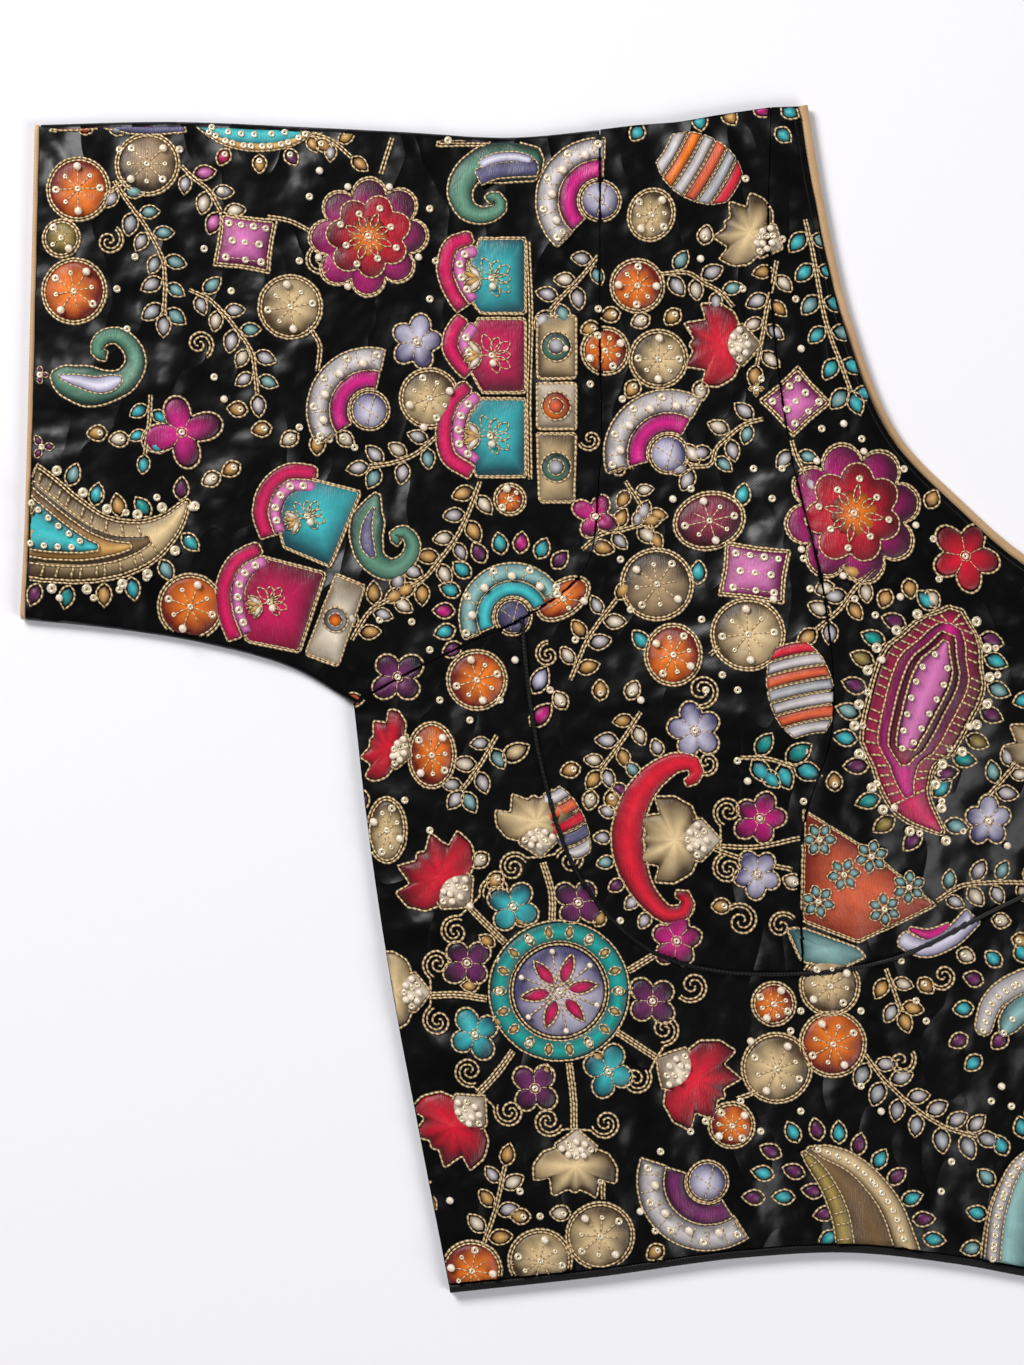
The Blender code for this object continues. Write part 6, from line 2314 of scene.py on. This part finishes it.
# Drops round the motifs, each with the pixel that they point away from
DROPLETS = (
    Drops(690, 838, ((656, 747), (632, 769), (619, 789), (607, 811), (602, 837), (605, 862), (616, 885), (631, 902),
                     (644, 920)), ("silver", "mist", "plum", "silver"), 6.2, 4.4),
    Drops(840, 1225, ((792, 1131), (816, 1128), (838, 1131), (858, 1143), (879, 1158), (896, 1175), (911, 1197),
                      (923, 1218), (934, 1239)), ("teal", "plum"), 7.6, 5.0),
    Drops(880, 1200, ((770, 1150), (762, 1172), (793, 1170), (753, 1196), (783, 1196), (812, 1190), (824, 1213),
                      (828, 1238)), ("plum", "teal", "plum"), 7.6, 5.0),
    Drops(258, 100, ((224, 158), (260, 165), (292, 158), (324, 146)), ("crimson", "ochre", "plum", "ochre"), 6.4, 4.6, True),
    Drops(513, 612, ((462, 570), (479, 553), (500, 544), (521, 543), (542, 549), (560, 560), (450, 590), (444, 611),
                     (445, 632), (452, 650)), ("teal", "plum", "teal", "magenta"), 7.4),
    Drops(1040, 1000, ((962, 1008), (972, 978), (992, 958), (957, 1040), (972, 1062), (998, 1040), (1020, 952),
                       (1044, 948)), ("teal", "plum"), 7.0),
    Drops(1040, 1230, ((1000, 1144), (985, 1176), (976, 1212), (971, 1248), (1020, 1126)), ("teal", "mist"), 7.2),
    Drops(559, 990, ((470, 985), (487, 940), (520, 918), (600, 918), (640, 990), (598, 1058), (545, 1072), (500, 1020)),
          ("ochre",), 6.0, 4.2),
    Drops(690, 700, ((741, 496), (697, 573), (640, 640), (768, 778)), ("teal",), 8.0),
    Drops(500, 760, ((540, 680), (541, 715), (516, 752)), ("lavender", "magenta", "beige"), 10.0, 6.0),
    Drops(1060, 690, ((930, 648), (1040, 1060), (1072, 1050), (1062, 650), (1080, 690), (1020, 700)), ("ochre", "teal"),
          7.2, bead=True),
    Drops(690, 60, ((637, 133), (700, 122), (730, 117), (762, 110), (790, 112), (783, 136)),
          ("teal", "teal", "ochre", "magenta"), 6.4),
    Drops(690, 300, ((610, 316), (640, 322), (672, 318), (705, 236), (590, 330), (700, 392), (632, 390), (560, 232)),
          ("ochre", "ivory"), 6.8, bead=True),
    Drops(380, 700, ((352, 700), (345, 735), (350, 770), (362, 802), (352, 850), (362, 890), (352, 930), (366, 965),
                     (372, 1030), (386, 1070), (402, 1100), (392, 1140)), ("rust", "grey", "ochre", "plum"), 8.0, 4.6),
    Drops(600, 760, ((560, 700), (600, 690), (632, 690), (570, 770), (590, 800), (612, 800), (480, 860), (495, 880)),
          ("ivory", "ochre"), 7.0, bead=True),
    Drops(690, 1220, ((640, 1290), (560, 1212), (520, 1215), (725, 1285), (625, 1275), (770, 1260), (655, 1252)),
          ("ochre", "ivory"), 7.0, bead=True),
    Drops(190, 700, ((36, 630), (62, 634), (92, 634), (124, 637), (156, 640), (190, 642), (222, 652), (250, 665)),
          ("rust", "plum", "ochre", "grey"), 6.6, 4.6),
    Drops(190, 200, ((52, 124), (84, 127), (116, 128), (148, 126), (178, 124), (330, 124), (350, 128)),
          ("ochre", "rust", "grey", "plum"), 6.4, 4.6),
    Drops(320, 420, ((262, 430), (290, 440), (318, 446), (346, 440), (238, 410), (120, 440), (98, 434), (212, 480),
                     (232, 470)), ("ochre", "ivory"), 7.0, bead=True),
    Drops(840, 900, ((720, 905), (1000, 920), (1020, 940), (790, 880), (830, 780), (965, 955), (925, 985)),
          ("ochre", "ivory"), 6.6, bead=True),
    Drops(900, 560, ((905, 590), (928, 600), (930, 500), (820, 590), (880, 600)), ("ochre", "ivory"), 6.8),
)

LOOSE = (
    (75, 475), (100, 495), (127, 513), (158, 498), (193, 508), (190, 540), (147, 578), (120, 590), (94, 598), (60, 598),
    (118, 290), (128, 330), (232, 292), (300, 262), (320, 172), (310, 198), (205, 250), (136, 258), (215, 378),
    (225, 400), (330, 440), (300, 428), (120, 150), (180, 150), (222, 192), (405, 240), (430, 210), (436, 262),
    (430, 300), (424, 428), (355, 448), (380, 620), (412, 622), (430, 650), (565, 350), (590, 385), (622, 400),
    (690, 330), (598, 310), (700, 260), (742, 290), (745, 180), (775, 345), (795, 300), (800, 350), (782, 240),
    (835, 300), (760, 380), (820, 430), (842, 425), (770, 500), (780, 470), (752, 470), (690, 490), (672, 500),
    (620, 560), (630, 610), (700, 620), (704, 690), (770, 600), (800, 560), (806, 590), (720, 675), (735, 690),
    (640, 700), (575, 640), (550, 690), (530, 700), (440, 700), (515, 660), (500, 700), (470, 720), (405, 800),
    (430, 830), (470, 905), (500, 960), (600, 940), (620, 920), (735, 760), (745, 780), (800, 800), (800, 750),
    (850, 600), (870, 616), (895, 598), (860, 440), (902, 470), (930, 540), (935, 580), (876, 660), (862, 692),
    (857, 725), (858, 755), (872, 782), (890, 806), (916, 832), (992, 648), (994, 675), (985, 702), (965, 726),
    (945, 748), (936, 772), (938, 800), (960, 830), (1005, 845), (900, 960), (915, 1000), (925, 1020), (860, 1085),
    (880, 1110), (800, 1110), (790, 1030), (800, 1010), (860, 1010), (750, 1040), (740, 1100), (705, 1120),
    (690, 1130), (660, 1150), (640, 1210), (655, 1230), (568, 1290), (510, 1290), (440, 1250), (450, 1200),
    (520, 1190), (540, 1215), (600, 1180), (760, 1130), (805, 1250), (790, 1270), (940, 1190), (950, 1160),
    (990, 1100), (1000, 1085), (1010, 1105),
)


class Embroidery:
    """All that is sewn on the front: motifs, stems, edgings and the sequins between them."""

    EDGINGS = (("neck", 7.4, 6.3), ("neck", 9.2, 6.3))

    def __init__(self, plan: Plan, panels: dict[str, Array]) -> None:
        """Takes the plan and the panels that it is sewn on."""
        self.plan = plan
        self.stitcher = Stitcher(plan, panels)
        self.pen = Pen(self.stitcher)

    def build(self) -> list[bpy.types.Object]:
        """Draws every motif, then makes the pieces."""
        for table in (MEDALLIONS, SQUARES, BLOOMS, FLOWERS, FANS, STRIPED, LOTUSES, BANDS, TOP_EDGE, CELLS, ARCHES, RINGS,
                      FLORETS, SPRAYS, LINKS, CURLS, DROPLETS):
            for motif in table:
                motif.draw(self.pen)
        Wheel(559, 990).draw(self.pen)
        for number, place in enumerate(LOOSE):
            spot = self.pen.spot(*place)
            sew = self.pen.pearl if number % 5 == 4 else self.pen.sequin
            sew(spot, 0.95)
        return self.stitcher.build()


class Studio:
    """Pale floor, soft light from the upper left, and the camera over the left half."""

    VIEW_HEIGHT = 436.8 * MM
    LENS = 100.0
    SENSOR = 36.0
    FOCUS_HEIGHT = 4.0 * MM

    def build(self) -> None:
        """Makes the floor, the lights and the camera."""
        self.floor()
        self.light("key_light", (-1.25, 1.2, 1.3), 0.8, 50.0)
        self.light("fill_light", (1.45, -1.1, 1.5), 1.5, 40.0)
        world = bpy.data.worlds.new("studio")
        bpy.context.scene.world = world
        world.use_nodes = True
        world.node_tree.nodes["Background"].inputs["Color"].default_value = (0.9, 0.92, 1.0, 1.0)
        world.node_tree.nodes["Background"].inputs["Strength"].default_value = 0.13
        bpy.context.scene.view_settings.view_transform = "Standard"
        self.camera()

    @staticmethod
    def floor() -> None:
        """Makes the pale floor that the blouse lies on."""
        mesh = bpy.data.meshes.new("pale_floor")
        reach = 4.0
        corners = [(-reach, -reach), (reach, -reach), (reach, reach), (-reach, reach)]
        mesh.from_pydata([(x, y, -0.05 * MM) for x, y in corners], [], [[0, 1, 2, 3]])
        mesh.materials.append(PaleFloor().make())
        made = bpy.data.objects.new("pale_floor", mesh)
        bpy.context.scene.collection.objects.link(made)

    @staticmethod
    def light(name: str, place: tuple[float, float, float], size: float, power: float) -> None:
        """Makes a square soft light that looks at the blouse."""
        lamp = bpy.data.lights.new(name, "AREA")
        lamp.energy = power
        lamp.size = size
        made = bpy.data.objects.new(name, lamp)
        made.location = place
        aim = Vector((-0.15, 0.0, 0.0)) - Vector(place)
        made.rotation_euler = aim.to_track_quat("-Z", "Y").to_euler()
        bpy.context.scene.collection.objects.link(made)

    def camera(self) -> None:
        """Sets the camera straight above the photograph's part of the blouse."""
        lens = bpy.data.cameras.new("camera")
        lens.lens = self.LENS
        lens.sensor_width = self.SENSOR
        lens.dof.use_dof = False
        made = bpy.data.objects.new("camera", lens)
        x = (PHOTO_SIZE[0] / 2.0 - CENTRE_COLUMN) * PIXEL * MM
        y = (MIDDLE_ROW - PHOTO_SIZE[1] / 2.0) * PIXEL * MM
        made.location = (x, y, self.FOCUS_HEIGHT + self.VIEW_HEIGHT * self.LENS / self.SENSOR)
        bpy.context.scene.collection.objects.link(made)
        bpy.context.scene.camera = made


def main() -> None:
    """Builds the blouse, its embroidery and the studio, in order."""
    logging.basicConfig(level=logging.INFO, format="%(message)s")
    plan = Plan()
    blouse = Blouse(plan)
    blouse.build()
    Embroidery(plan, blouse.panels).build()
    Studio().build()


if __name__ == "__main__":
    main()
